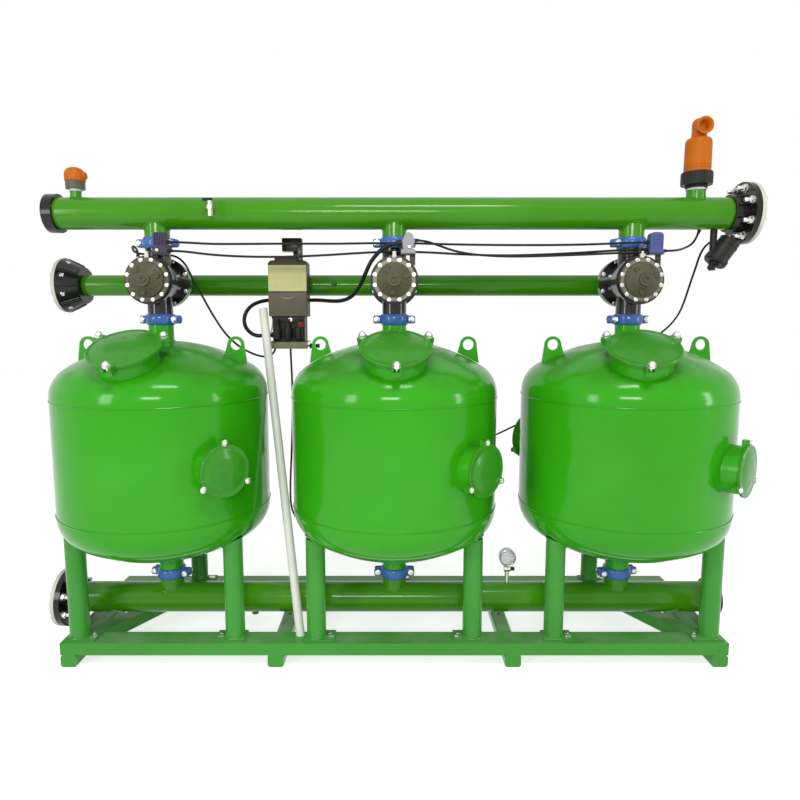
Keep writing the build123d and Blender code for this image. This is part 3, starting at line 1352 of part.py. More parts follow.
cable_conduit = make_tube(
    [
        (-475, 156, 1182), (-508, 156, 1182), (-550, 150, 1176), (-586, 140, 1206), (-592, 136, 1250),
        (-575, 160, 1292), (-538, 200, 1316), (-482, 221, 1322), (-413, 224, 1318), (-345, 216, 1320),
        (-296, 184, 1319), (-250, 132, 1314), (-206, 76, 1312), (-164, 22, 1322), (-130, -26, 1354),
        (-106, -62, 1400), (-84, -88, 1446), (-50, -98, 1484), (-12, -98, 1509), (25, -98, 1509),
    ],
    CONDUIT_OD,
)
save(cable_conduit, "cable_conduit")

drain_hose = make_tube(
    [
        (-481.5, 160, 1254), (-481.5, 160, 1238), (-484, 156, 1210), (-490, 146, 1186), (-495.4, 130, 1174),
        (-495.4, 112.2, 1173),
    ],
    HOSE_OD,
)
save(drain_hose, "drain_hose")
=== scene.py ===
# %% [markdown]
# # A three-tank sand media filter
# Water enters the long pipe at the top, runs down through sand in three steel tanks and leaves by
# the pipe near the floor. This lesson dresses the engineered frame of the filter: paint, castings,
# fasteners, tubes and light. The frame could be modelled again here, but every piece of it already
# stands in its place, so the lesson loads it and adds only what the frame leaves plain.

# %% Load the engineered frame
import json
import math

import bmesh
import bpy
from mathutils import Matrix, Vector, noise


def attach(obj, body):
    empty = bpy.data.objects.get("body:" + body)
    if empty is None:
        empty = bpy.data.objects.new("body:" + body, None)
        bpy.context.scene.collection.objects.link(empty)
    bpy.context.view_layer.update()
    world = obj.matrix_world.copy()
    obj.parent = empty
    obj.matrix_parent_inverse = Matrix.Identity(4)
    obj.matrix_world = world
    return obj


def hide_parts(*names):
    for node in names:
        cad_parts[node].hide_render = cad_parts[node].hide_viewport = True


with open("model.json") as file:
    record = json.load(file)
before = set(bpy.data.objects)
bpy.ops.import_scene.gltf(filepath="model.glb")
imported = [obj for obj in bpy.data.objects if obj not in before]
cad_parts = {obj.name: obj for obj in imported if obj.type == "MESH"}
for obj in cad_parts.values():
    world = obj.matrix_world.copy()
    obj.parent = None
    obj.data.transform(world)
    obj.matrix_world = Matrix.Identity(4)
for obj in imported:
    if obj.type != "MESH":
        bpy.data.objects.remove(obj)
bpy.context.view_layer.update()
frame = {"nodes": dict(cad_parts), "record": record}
scene = bpy.context.scene

# %% [markdown]
# ## The camera
# The photograph was taken from the front, about chest high, with a fairly wide lens that looks
# slightly down. A longer lens from further away would flatten the row of valves, whose fronts turn
# away from the middle, so the short distance matters more than any other setting.

# %% Camera
camera_data = bpy.data.cameras.new("front_camera")
camera_data.lens = 27.667
camera_data.sensor_width = 36.0
camera_data.shift_x = 0.00711
camera_data.shift_y = -0.01151
camera = bpy.data.objects.new("front_camera", camera_data)
camera.location = (0.0, -2.2946, 1.2492)
camera.rotation_euler = (1.45262, 0.0, 0.0)
scene.collection.objects.link(camera)
scene.camera = camera
scene.view_settings.view_transform = "Standard"
print("camera at", tuple(camera.location), "lens", camera_data.lens, "mm")

# %% [markdown]
# ## Command tubes and the cable conduit
# Thin black tubes carry water pressure from the controller to the three valves, and one thicker
# conduit carries the cables. A tube could be a chain of bevelled segments, but a NURBS curve with a
# round bevel bends evenly, as a real tube does, and keeps its thickness everywhere.

# %% Routes of the tubes, in metres
tube_routes = {
    "tube_upper_run": (0.008, 1.689, "stiff", [
        (-0.794, -0.098, 1.512), (-0.745, -0.098, 1.512), (-0.655, -0.076, 1.508), (-0.53, -0.066, 1.5095),
        (-0.36, -0.064, 1.511), (-0.2, -0.066, 1.51), (-0.07, -0.067, 1.5125), (0.06, -0.066, 1.512),
        (0.21, -0.064, 1.508), (0.38, -0.062, 1.506), (0.56, -0.066, 1.5055), (0.7, -0.074, 1.507),
        (0.8, -0.09, 1.51), (0.844, -0.098, 1.511), (0.89, -0.098, 1.511),
    ]),
    "tube_lower_run": (0.008, 1.684, "stiff", [
        (-0.791, -0.098, 1.482), (-0.745, -0.098, 1.482), (-0.655, -0.077, 1.471), (-0.54, -0.068, 1.465),
        (-0.4, -0.066, 1.464), (-0.27, -0.064, 1.469), (-0.14, -0.066, 1.477), (-0.02, -0.068, 1.483),
        (0.11, -0.067, 1.481), (0.24, -0.066, 1.473), (0.38, -0.065, 1.469), (0.52, -0.066, 1.472),
        (0.65, -0.07, 1.478), (0.76, -0.082, 1.484), (0.838, -0.098, 1.487), (0.887, -0.098, 1.487),
    ]),
    "tube_middle_relay": (0.008, 0.826, "stiff", [
        (0.071, -0.098, 1.518), (0.104, -0.098, 1.518), (0.155, -0.088, 1.502), (0.215, -0.08, 1.482),
        (0.29, -0.077, 1.47), (0.4, -0.076, 1.464), (0.52, -0.077, 1.466), (0.65, -0.081, 1.47),
        (0.76, -0.094, 1.474), (0.838, -0.11, 1.476), (0.887, -0.11, 1.476),
    ]),
    "tube_right_relay": (0.008, 0.278, "stiff", [
        (0.939, -0.098, 1.482), (0.968, -0.098, 1.482), (1.002, -0.074, 1.487), (1.036, -0.034, 1.495),
        (1.068, 0.006, 1.505), (1.1, 0.03, 1.518), (1.12, 0.035, 1.543), (1.124, 0.0232, 1.5718),
    ]),
    "tube_supply": (0.008, 3.141, "stiff", [
        (1.165, 0.0126, 1.524), (1.165, 0.044, 1.524), (1.16, 0.082, 1.492), (1.159, 0.112, 1.436),
        (1.165, 0.168, 1.37), (1.18, 0.24, 1.302), (1.187, 0.31, 1.248), (1.168, 0.37, 1.196),
        (1.112, 0.404, 1.146), (1.02, 0.416, 1.076), (0.88, 0.421, 0.972), (0.72, 0.422, 0.866),
        (0.54, 0.422, 0.768), (0.37, 0.422, 0.688), (0.22, 0.421, 0.612), (0.07, 0.416, 0.53),
        (-0.08, 0.398, 0.452), (-0.215, 0.352, 0.396), (-0.325, 0.282, 0.366), (-0.398, 0.212, 0.392),
        (-0.426, 0.16, 0.468), (-0.42, 0.126, 0.58), (-0.408, 0.11, 0.74), (-0.4, 0.106, 0.9),
        (-0.402, 0.112, 1.01), (-0.408, 0.134, 1.078), (-0.412, 0.15, 1.118), (-0.412, 0.15, 1.154),
    ]),
    "tube_left_valve": (0.008, 0.912, "stiff", [
        (-0.9, -0.095, 1.4612), (-0.9, -0.095, 1.483), (-0.917, -0.084, 1.5), (-0.936, -0.056, 1.5),
        (-0.945, -0.018, 1.487), (-0.942, 0.026, 1.484), (-0.918, 0.064, 1.486), (-0.876, 0.082, 1.487),
        (-0.826, 0.078, 1.482), (-0.788, 0.066, 1.452), (-0.764, 0.062, 1.4), (-0.73, 0.07, 1.33),
        (-0.697, 0.08, 1.262), (-0.656, 0.092, 1.19), (-0.612, 0.108, 1.142), (-0.56, 0.128, 1.108),
        (-0.508, 0.146, 1.092), (-0.47, 0.15, 1.114), (-0.47, 0.15, 1.154),
    ]),
    "cable_conduit": (0.015, 1.053, "stiff", [
        (-0.475, 0.156, 1.182), (-0.508, 0.156, 1.182), (-0.55, 0.15, 1.176), (-0.586, 0.14, 1.206),
        (-0.592, 0.136, 1.25), (-0.575, 0.16, 1.292), (-0.538, 0.2, 1.316), (-0.482, 0.221, 1.322),
        (-0.413, 0.224, 1.318), (-0.345, 0.216, 1.32), (-0.296, 0.184, 1.319), (-0.25, 0.132, 1.314),
        (-0.206, 0.076, 1.312), (-0.164, 0.022, 1.322), (-0.13, -0.026, 1.354), (-0.106, -0.062, 1.4),
        (-0.084, -0.088, 1.446), (-0.05, -0.098, 1.484), (-0.012, -0.098, 1.509), (0.025, -0.098, 1.509),
    ]),
    "drain_hose": (0.006, 0.108, "medium", [
        (-0.4815, 0.16, 1.254), (-0.4815, 0.16, 1.238), (-0.484, 0.156, 1.21), (-0.49, 0.146, 1.186),
        (-0.4954, 0.13, 1.174), (-0.4954, 0.1122, 1.173),
    ]),
}
print("tubes", len(tube_routes))

# %% [markdown]
# Order three gives curves that pass close to their points without overshooting, and the endpoint
# setting makes them start and stop exactly at the fittings.

# %% Lay the tubes
tubes = {}
for name, (diameter, length, stiffness, route) in tube_routes.items():
    curve = bpy.data.curves.new(name + "_line", "CURVE")
    curve.dimensions = "3D"
    curve.bevel_depth = 1.0
    curve.bevel_resolution = 4
    curve.resolution_u = 8
    curve.use_fill_caps = True
    spline = curve.splines.new("NURBS")
    spline.points.add(len(route) - 1)
    for point, place in zip(spline.points, route):
        point.co = (*place, 1.0)
        point.radius = diameter / 2
    spline.order_u = 3
    spline.use_endpoint_u = True
    tube = bpy.data.objects.new(name + "_line", curve)
    scene.collection.objects.link(tube)
    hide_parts(name)
    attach(tube, "frame")
    tubes[name] = tube
    print(name, "follows", len(route), "points")

# %% [markdown]
# ## Shared surface effects
# Every finish needs some unevenness: sprayed paint has a fine ripple and gathers dust on top, where
# the tanks also get painted shade, castings are pitted, moulded plastic has a soft grain and zinc
# plating is cloudy. Each effect is one node group that gives a colour, a roughness and a height, and
# the materials place it with their own values. Keeping the shader outside the group lets each
# material keep its own gloss.

# %% Helper for node groups
def new_group(name, inputs):
    """A shader node group with its named inputs, which gives Color, Roughness and Height."""
    tree = bpy.data.node_groups.new(name, "ShaderNodeTree")
    for label, kind, value in inputs:
        tree.interface.new_socket(label, in_out="INPUT", socket_type=kind).default_value = value
    tree.interface.new_socket("Color", in_out="OUTPUT", socket_type="NodeSocketColor")
    tree.interface.new_socket("Roughness", in_out="OUTPUT", socket_type="NodeSocketFloat")
    tree.interface.new_socket("Height", in_out="OUTPUT", socket_type="NodeSocketFloat")
    return tree, tree.nodes.new("NodeGroupInput"), tree.nodes.new("NodeGroupOutput")


def add_noise(tree, place, scale, detail=3.0, factor=None):
    """A noise texture; its scale is a number, or a number times a group input."""
    node = tree.nodes.new("ShaderNodeTexNoise")
    node.inputs["Detail"].default_value = detail
    tree.links.new(place, node.inputs["Vector"])
    if factor is None:
        node.inputs["Scale"].default_value = scale
    else:
        times = add_math(tree, "MULTIPLY", factor, scale)
        tree.links.new(times, node.inputs["Scale"])
    return node.outputs["Fac"]


def add_math(tree, operation, first, second, clamp=False):
    """A math node on two values, each a number or a socket."""
    node = tree.nodes.new("ShaderNodeMath")
    node.operation = operation
    node.use_clamp = clamp
    for socket, value in zip(node.inputs, (first, second)):
        if isinstance(value, (int, float)):
            socket.default_value = value
        else:
            tree.links.new(value, socket)
    return node.outputs[0]


def add_mix(tree, factor, first, second):
    """Mix two colours by a value."""
    node = tree.nodes.new("ShaderNodeMix")
    node.data_type = "RGBA"
    tree.links.new(factor, node.inputs["Factor"])
    for socket, value in zip((node.inputs[6], node.inputs[7]), (first, second)):
        if isinstance(value, tuple):
            socket.default_value = value
        else:
            tree.links.new(value, socket)
    return node.outputs[2]


def add_ramp(tree, value, low, high):
    """Stretch a value so that low becomes 0 and high becomes 1."""
    node = tree.nodes.new("ShaderNodeMapRange")
    tree.links.new(value, node.inputs["Value"])
    node.inputs["From Min"].default_value = low
    node.inputs["From Max"].default_value = high
    return node.outputs["Result"]


def darker(colour, share):
    """The same colour with a share of its light."""
    return (colour[0] * share, colour[1] * share, colour[2] * share, 1.0)


print("node helpers ready")

# %% [markdown]
# Sprayed gloss paint: broad cloudy patches of a slightly darker green, a fine orange-peel ripple,
# and a second colour where the surface faces up: pale dust on the frame, and on the tanks a dark
# green that is dust and painted shade on the crowns. The mask comes from the surface's own upward
# direction times a blotchy noise, so it stays on shoulders and rail tops.

# %% Sprayed paint
paint, given, result = new_group("sprayed_paint", [
    ("Color", "NodeSocketColor", (0.05, 0.4, 0.03, 1)),
    ("Shade", "NodeSocketColor", (0.03, 0.25, 0.02, 1)),
    ("Dust And Shade Color", "NodeSocketColor", (0.30, 0.42, 0.26, 1)),
    ("Dust And Shade", "NodeSocketFloat", 0.3),
    ("Gloss Roughness", "NodeSocketFloat", 0.2),
])
coords = paint.nodes.new("ShaderNodeTexCoord").outputs["Object"]
clouds = add_ramp(paint, add_noise(paint, coords, 2.2), 0.35, 0.7)
runs = add_ramp(paint, add_noise(paint, coords, 14.0, 5.0), 0.5, 0.8)
toned = add_mix(paint, add_math(paint, "MULTIPLY", clouds, 0.45), given.outputs["Color"],
                given.outputs["Shade"])
toned = add_mix(paint, add_math(paint, "MULTIPLY", runs, 0.22), toned, given.outputs["Shade"])
facing = paint.nodes.new("ShaderNodeSeparateXYZ")
paint.links.new(paint.nodes.new("ShaderNodeNewGeometry").outputs["Normal"], facing.inputs[0])
upward = add_ramp(paint, facing.outputs["Z"], 0.35, 1.0)
blotches = add_ramp(paint, add_noise(paint, coords, 9.0, 6.0), 0.3, 0.75)
# Upward faces get the dust colour: real dust on the frame, dust and painted shade on the tanks.
dust_and_shade = add_math(paint, "MULTIPLY", add_math(paint, "MULTIPLY", upward, blotches), given.outputs["Dust And Shade"], True)
paint.links.new(add_mix(paint, dust_and_shade, toned, given.outputs["Dust And Shade Color"]), result.inputs["Color"])
matt = add_math(paint, "MULTIPLY", dust_and_shade, 0.5)
matt = add_math(paint, "ADD", matt, given.outputs["Gloss Roughness"])
paint.links.new(add_math(paint, "ADD", matt, add_math(paint, "MULTIPLY", runs, 0.08), True),
                result.inputs["Roughness"])
ripple = add_noise(paint, coords, 260.0, 2.0)
waves = add_noise(paint, coords, 24.0, 2.0)
paint.links.new(add_math(paint, "ADD", ripple, add_math(paint, "MULTIPLY", waves, 2.0)),
                result.inputs["Height"])
print("sprayed paint nodes", len(paint.nodes))

# %% [markdown]
# A cast skin: sand leaves pits and a pebbled relief in iron and aluminium, which paint only
# softens. Two noises of different size give the relief, and the pits are also a little darker.

# %% Cast skin
cast, given, result = new_group("cast_skin", [
    ("Color", "NodeSocketColor", (0.1, 0.1, 0.07, 1)),
    ("Pit Color", "NodeSocketColor", (0.05, 0.05, 0.03, 1)),
    ("Grain Size", "NodeSocketFloat", 1.0),
    ("Skin Roughness", "NodeSocketFloat", 0.5),
])
coords = cast.nodes.new("ShaderNodeTexCoord").outputs["Object"]
pebbles = add_noise(cast, coords, 180.0, 4.0, given.outputs["Grain Size"])
pits = add_ramp(cast, add_noise(cast, coords, 60.0, 5.0, given.outputs["Grain Size"]), 0.5, 0.8)
cast.links.new(add_mix(cast, pits, given.outputs["Color"], given.outputs["Pit Color"]),
               result.inputs["Color"])
cast.links.new(add_math(cast, "ADD", given.outputs["Skin Roughness"],
                        add_math(cast, "MULTIPLY", pits, 0.2), True),
               result.inputs["Roughness"])
cast.links.new(add_math(cast, "SUBTRACT", pebbles, pits), result.inputs["Height"])
print("cast skin nodes", len(cast.nodes))

# %% [markdown]
# Moulded plastic: almost even in colour, with soft fading in broad patches and a very fine grain
# from the mould. Sun and dust make it slightly lighter in places.

# %% Moulded plastic
mould, given, result = new_group("moulded_plastic", [
    ("Color", "NodeSocketColor", (0.5, 0.5, 0.5, 1)),
    ("Faded Color", "NodeSocketColor", (0.6, 0.6, 0.6, 1)),
    ("Fading", "NodeSocketFloat", 0.4),
    ("Surface Roughness", "NodeSocketFloat", 0.4),
])
coords = mould.nodes.new("ShaderNodeTexCoord").outputs["Object"]
patches = add_ramp(mould, add_noise(mould, coords, 18.0, 4.0), 0.35, 0.7)
faded = add_math(mould, "MULTIPLY", patches, given.outputs["Fading"])
mould.links.new(add_mix(mould, faded, given.outputs["Color"], given.outputs["Faded Color"]),
                result.inputs["Color"])
smears = add_noise(mould, coords, 45.0, 3.0)
mould.links.new(add_math(mould, "ADD", given.outputs["Surface Roughness"],
                         add_math(mould, "MULTIPLY", smears, 0.14), True), result.inputs["Roughness"])
mould.links.new(add_noise(mould, coords, 700.0, 2.0), result.inputs["Height"])
print("moulded plastic nodes", len(mould.nodes))

# %% [markdown]
# Bare metal: zinc plating is cloudy, with duller stains, and nickel dulls in the same way. Small
# crystals from a Voronoi texture give the zinc its spangle.

# %% Bare metal
metal, given, result = new_group("bare_metal", [
    ("Color", "NodeSocketColor", (0.7, 0.7, 0.68, 1)),
    ("Stain Color", "NodeSocketColor", (0.35, 0.33, 0.28, 1)),
    ("Stains", "NodeSocketFloat", 0.4),
    ("Polish Roughness", "NodeSocketFloat", 0.28),
])
coords = metal.nodes.new("ShaderNodeTexCoord").outputs["Object"]
crystals = metal.nodes.new("ShaderNodeTexVoronoi")
crystals.inputs["Scale"].default_value = 160.0
metal.links.new(coords, crystals.inputs["Vector"])
stains = add_ramp(metal, add_noise(metal, coords, 70.0, 5.0), 0.42, 0.75)
stained = add_math(metal, "MULTIPLY", stains, given.outputs["Stains"])
metal.links.new(add_mix(metal, stained, given.outputs["Color"], given.outputs["Stain Color"]),
                result.inputs["Color"])
metal.links.new(add_math(metal, "ADD", given.outputs["Polish Roughness"],
                         add_math(metal, "MULTIPLY", stained, 0.5), True), result.inputs["Roughness"])
metal.links.new(crystals.outputs["Distance"], result.inputs["Height"])
print("bare metal nodes", len(metal.nodes))

# %% [markdown]
# ## Finishes
# Each finish is a Principled shader fed by one of the effects. The colours were set by comparing
# renders with the photograph: a saturated leaf green on all steel, a little yellower on the pipes, deep
# blue couplings, olive-grey valve covers and orange air valves.

# %% Helper for a finish
def make_finish(name, effect, values, bump=0.1, distance=0.0004, metallic=0.0, coat=0.0, specular=0.18):
    """A material whose colour, roughness and relief come from one of the shared effects."""
    material = bpy.data.materials.new(name)
    material.use_nodes = True
    tree = material.node_tree
    shader = tree.nodes["Principled BSDF"]
    shader.inputs["Metallic"].default_value = metallic
    shader.inputs["Specular IOR Level"].default_value = specular
    shader.inputs["Coat Weight"].default_value = coat
    shader.inputs["Coat Roughness"].default_value = 0.08
    surface = tree.nodes.new("ShaderNodeGroup")
    surface.node_tree = effect
    for label, value in values.items():
        surface.inputs[label].default_value = value
    relief = tree.nodes.new("ShaderNodeBump")
    relief.inputs["Strength"].default_value = bump
    relief.inputs["Distance"].default_value = distance
    tree.links.new(surface.outputs["Color"], shader.inputs["Base Color"])
    tree.links.new(surface.outputs["Roughness"], shader.inputs["Roughness"])
    tree.links.new(surface.outputs["Height"], relief.inputs["Height"])
    tree.links.new(relief.outputs["Normal"], shader.inputs["Normal"])
    return material


def painted(name, colour, dust_and_shade=0.3, roughness=0.2, coat=0.2, bump=0.12, dust_and_shade_colour=(0.30, 0.42, 0.26)):
    """Sprayed gloss paint of one colour."""
    values = {"Color": darker(colour, 1.0), "Shade": darker(colour, 0.72), "Dust And Shade": dust_and_shade,
              "Dust And Shade Color": darker(dust_and_shade_colour, 1.0),
              "Gloss Roughness": roughness}
    return make_finish(name, paint, values, bump=bump, coat=coat)


def casting(name, colour, roughness=0.45, coat=0.0, bump=0.5, grain=1.0, pit=0.6):
    """Painted or bare cast metal."""
    values = {"Color": darker(colour, 1.0), "Pit Color": darker(colour, pit), "Skin Roughness": roughness,
              "Grain Size": grain}
    return make_finish(name, cast, values, bump=bump, distance=0.0008, coat=coat)


def plastic(name, colour, roughness=0.35, fading=0.35, coat=0.0, lighter=1.35):
    """Moulded plastic of one colour."""
    values = {"Color": darker(colour, 1.0), "Faded Color": darker(colour, lighter), "Fading": fading,
              "Surface Roughness": roughness}
    return make_finish(name, mould, values, bump=0.15, distance=0.0002, coat=coat)


def bare(name, colour, stain, roughness=0.28, stains=0.4):
    """Bare or plated metal."""
    values = {"Color": darker(colour, 1.0), "Stain Color": darker(stain, 1.0), "Stains": stains,
              "Polish Roughness": roughness}
    return make_finish(name, metal, values, bump=0.08, distance=0.0003, metallic=1.0)


print("finish helpers ready")

# %% Finishes of the record's slots
finishes = {
    # The tanks' dark upward colour is dust and painted shade, which darkens their crowns and shoulders.
    "tank_green": painted("tank_green_gloss", (0.038, 0.41, 0.006), dust_and_shade=0.85, roughness=0.15, coat=0.12,
                          dust_and_shade_colour=(0.036, 0.145, 0.006)),
    "frame_green": painted("frame_green_gloss", (0.060, 0.35, 0.040), dust_and_shade=0.6, roughness=0.26, coat=0.15),
    "pipe_green": painted("pipe_green_gloss", (0.060, 0.30, 0.004), dust_and_shade=0.15, roughness=0.15, coat=0.15),
    "lid_green": casting("lid_green_cast", (0.042, 0.29, 0.014), roughness=0.28, coat=0.2, bump=0.35,
                         grain=0.7, pit=0.85),
    "coupling_blue": casting("coupling_blue_cast", (0.055, 0.165, 0.50), roughness=0.25, coat=0.4, bump=0.4),
    "zinc": bare("zinc_plating", (0.72, 0.72, 0.68), (0.40, 0.38, 0.32)),
    "steel_inner": bare("inner_steel", (0.55, 0.55, 0.54), (0.3, 0.28, 0.25)),
    "sand": casting("filter_sand", (0.60, 0.48, 0.30), roughness=0.85, bump=1.0, grain=3.0),
    "valve_black": plastic("valve_black_gloss", (0.012, 0.012, 0.012), roughness=0.12, coat=0.5, lighter=1.8),
    "bonnet_olive": casting("bonnet_olive_cast", (0.100, 0.092, 0.056), roughness=0.42, bump=0.5, grain=1.6),
    "brass": bare("pale_nickel", (0.68, 0.64, 0.54), (0.30, 0.26, 0.18)),
    "seal_rubber": plastic("seal_rubber", (0.03, 0.03, 0.03), roughness=0.7),
    "relay_grey": plastic("relay_light_grey", (0.36, 0.34, 0.36), roughness=0.38),
    "bracket_olive": painted("bracket_olive_paint", (0.075, 0.072, 0.040), dust_and_shade=0.3, roughness=0.35,
                             coat=0.1),
    "cap_black": casting("cap_black_paint", (0.012, 0.012, 0.011), roughness=0.22, coat=0.3, bump=0.3),
    "ivory_plastic": plastic("counter_ivory", (0.72, 0.71, 0.62), roughness=0.4, lighter=1.15),
    "black_plastic": plastic("black_plastic", (0.016, 0.016, 0.015), roughness=0.36, lighter=2.0),
    "orange_plastic": plastic("air_valve_orange", (0.55, 0.135, 0.004), roughness=0.34, lighter=1.15),
    "float_white": plastic("float_white", (0.8, 0.8, 0.77), roughness=0.5, lighter=1.1),
    "grey_plastic": plastic("cover_grey", (0.115, 0.107, 0.075), roughness=0.36, fading=0.3),
    "case_beige": plastic("door_beige", (0.60, 0.56, 0.27), roughness=0.36, fading=0.3, lighter=1.2),
    "case_grey": plastic("case_olive_grey", (0.055, 0.052, 0.033), roughness=0.4),
    "gauge_black": bare("gauge_steel", (0.42, 0.42, 0.43), (0.2, 0.2, 0.2), roughness=0.22, stains=0.3),
    "pvc_white": plastic("drain_cream", (0.83, 0.82, 0.74), roughness=0.28, fading=0.5, lighter=1.08,
                         coat=0.2),
    "tube_black": plastic("tube_black", (0.012, 0.012, 0.011), roughness=0.32, lighter=2.2),
    "hose_white": plastic("hose_white", (0.75, 0.75, 0.72), roughness=0.35, lighter=1.1),
    "knob_black": plastic("knob_black", (0.015, 0.015, 0.015), roughness=0.4, lighter=2.0),
}
print("finishes", len(finishes))

# %% [markdown]
# Every engineered part carries the name of its finish in the record, so the record says which
# material goes where, and nothing is assigned by hand.

# %% Dress the engineered parts
for part in frame["record"]["subparts"]:
    node = frame["nodes"][part["node"]]
    node.data.materials.clear()
    node.data.materials.append(finishes[part["material_slot"]])
for name, tube in tubes.items():
    slot = "hose_white" if name == "drain_hose" else "tube_black"
    tube.data.materials.append(finishes[slot])

# %% [markdown]
# ## Tools for making metal pieces
# Most pieces here are turned, pressed or welded. A turned piece is a profile of radius and height
# pairs spun about an axis, a pressed or machined block is a box with rounded edges, and a weld is a
# thin wavy tube laid along a seam. All three write into one mesh, so a piece can mix them.

# %% Mesh tools
def axes_about(direction):
    """Two directions across an axis, and the axis itself."""
    normal = Vector(direction).normalized()
    helper = Vector((0, 0, 1)) if abs(normal.z) < 0.9 else Vector((1, 0, 0))
    across = helper.cross(normal).normalized()
    return across, normal.cross(across), normal


def turn_profile(mesh, profile, base, direction, steps=48, finish=0):
    """Spin (radius, height) pairs about an axis through the base point."""
    across, over, normal = axes_about(direction)
    rings = []
    for radius, height in profile:
        centre = Vector(base) + normal * height
        count = 1 if radius < 1e-6 else steps
        ring = []
        for i in range(count):
            a = 2 * math.pi * i / steps
            ring.append(mesh.verts.new(centre + (across * math.cos(a) + over * math.sin(a)) * radius))
        rings.append(ring)
    for low, high in zip(rings, rings[1:]):
        if len(low) == 1 and len(high) == 1:
            continue
        for i in range(steps):
            j = (i + 1) % steps
            corners = [low[i % len(low)], low[j % len(low)], high[j % len(high)], high[i % len(high)]]
            face = mesh.faces.new(list(dict.fromkeys(corners)))
            face.material_index = finish


def rounded_block(mesh, low, high, radius, finish=0, segments=2, turn=None):
    """A box between two corners with its edges rounded; turn is (angle, point) about Z."""
    part = bmesh.new()
    bmesh.ops.create_cube(part, size=1.0)
    low, high = Vector(low), Vector(high)
    for vert in part.verts:
        vert.co = Vector(tuple((low[k] + high[k]) / 2 + vert.co[k] * (high[k] - low[k]) for k in range(3)))
    bmesh.ops.bevel(part, geom=part.edges[:], offset=radius, segments=segments, profile=0.5, affect="EDGES")
    if turn:
        angle, point = turn
        for vert in part.verts:
            d = vert.co - Vector(point)
            vert.co = Vector(point) + Vector((d.x * math.cos(angle) - d.y * math.sin(angle),
                                              d.x * math.sin(angle) + d.y * math.cos(angle), d.z))
    copies = {vert: mesh.verts.new(vert.co) for vert in part.verts}
    for face in part.faces:
        new = mesh.faces.new([copies[vert] for vert in face.verts])
        new.material_index = finish
    part.free()


def weld_bead(mesh, seam, radius, sides=6, ripple=0.25):
    """A closed wavy tube along a seam's points."""
    rings = []
    count = len(seam)
    for i, point in enumerate(seam):
        along = (seam[(i + 1) % count] - seam[i - 1]).normalized()
        across, over, _ = axes_about(along)
        size = radius * (1 + ripple * (noise.noise(point * 90.0)))
        rings.append([mesh.verts.new(point + (across * math.cos(2 * math.pi * k / sides)
                                              + over * math.sin(2 * math.pi * k / sides)) * size)
                      for k in range(sides)])
    for i in range(count):
        low, high = rings[i], rings[(i + 1) % count]
        shift = min(range(sides), key=lambda s: (low[0].co - high[s].co).length)
        for k in range(sides):
            mesh.faces.new([low[k], low[(k + 1) % sides],
                            high[(k + 1 + shift) % sides], high[(k + shift) % sides]])


def finish_piece(name, mesh, materials, body="frame", stands_for=(), sharp=0.6):
    """Turn a mesh into a named piece that rides on a body of the frame."""
    bmesh.ops.recalc_face_normals(mesh, faces=mesh.faces[:])
    for edge in mesh.edges:
        edge.smooth = edge.calc_face_angle(0.0) < sharp
    for face in mesh.faces:
        face.smooth = True
    data = bpy.data.meshes.new(name)
    mesh.to_mesh(data)
    mesh.free()
    piece = bpy.data.objects.new(name, data)
    scene.collection.objects.link(piece)
    for material in materials:
        data.materials.append(material)
    if stands_for:
        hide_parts(*stands_for)
    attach(piece, body)
    print(name, "faces", len(data.polygons))

# %% Places on the engineered frame, in metres
TANKS = (-0.865, 0.0, 0.865)
INLET_Z = 1.625
OUTLET_Z = 0.1676
PIPE_RADIUS = 0.05715
STUB_RADIUS = 0.0445
FLUSH_Y = 0.250
FLUSH_Z = 1.380
FLUSH_RADIUS = 0.042
VALVE_Z = 1.381
LARGE_AIR_X = 1.092
SMALL_AIR_X = -1.153
BOLT_CIRCLE = 0.090
print("tanks at", TANKS)

# %% [markdown]
# ## Fasteners
# The frame holds plain hexagons where bolts and nuts sit. Real ones have a washer, a chamfered
# hexagon and the end of the stud. Their places are read from the frame, island by island: the
# broad flat faces of each hexagon give its axis, and their distance apart gives its height.

# %% Read the fasteners' places
def loose_bodies(node):
    """Middle, axis, height and half width of every separate hexagon in a node."""
    mesh = bmesh.new()
    mesh.from_mesh(frame["nodes"][node].data)
    bmesh.ops.remove_doubles(mesh, verts=mesh.verts[:], dist=1e-5)
    # Dictionaries keep their order, so the places come out the same on every run.
    left = dict.fromkeys(mesh.verts)
    found = []
    while left:
        stack = [left.popitem()[0]]
        island = dict.fromkeys(stack)
        while stack:
            for edge in stack.pop().link_edges:
                for vert in edge.verts:
                    if vert not in island:
                        island[vert] = None
                        left.pop(vert, None)
                        stack.append(vert)
        faces = dict.fromkeys(face for vert in island for face in vert.link_faces)
        axis = max((face.normal.copy() for face in faces),
                   key=lambda n: sum(f.calc_area() for f in faces if abs(f.normal.dot(n)) > 0.99))
        spans = [vert.co.dot(axis) for vert in island]
        middle = sum((vert.co for vert in island), Vector()) / len(island)
        middle += axis * ((min(spans) + max(spans)) / 2 - middle.dot(axis))
        reach = max((vert.co - middle - axis * (vert.co - middle).dot(axis)).length for vert in island)
        found.append((middle, axis, max(spans) - min(spans), reach * math.cos(math.pi / 6)))
    mesh.free()
    return sorted(found, key=lambda item: tuple(round(v, 4) for v in item[0]))


def outward(middle, axis):
    """The axis turned away from the tank that the fastener belongs to."""
    if abs(axis.z) > 0.3:
        return axis if axis.z > 0 else -axis
    tank = min(TANKS, key=lambda x: abs(x - middle.x))
    away = Vector((middle.x - tank, middle.y, 0))
    return axis if away.dot(axis) > 0 else -axis


for name in ("leg_bolts", "hatch_bolts", "coupling_bolts", "bonnet_bolts", "flange_bolts"):
    print(name, len(loose_bodies(name)))

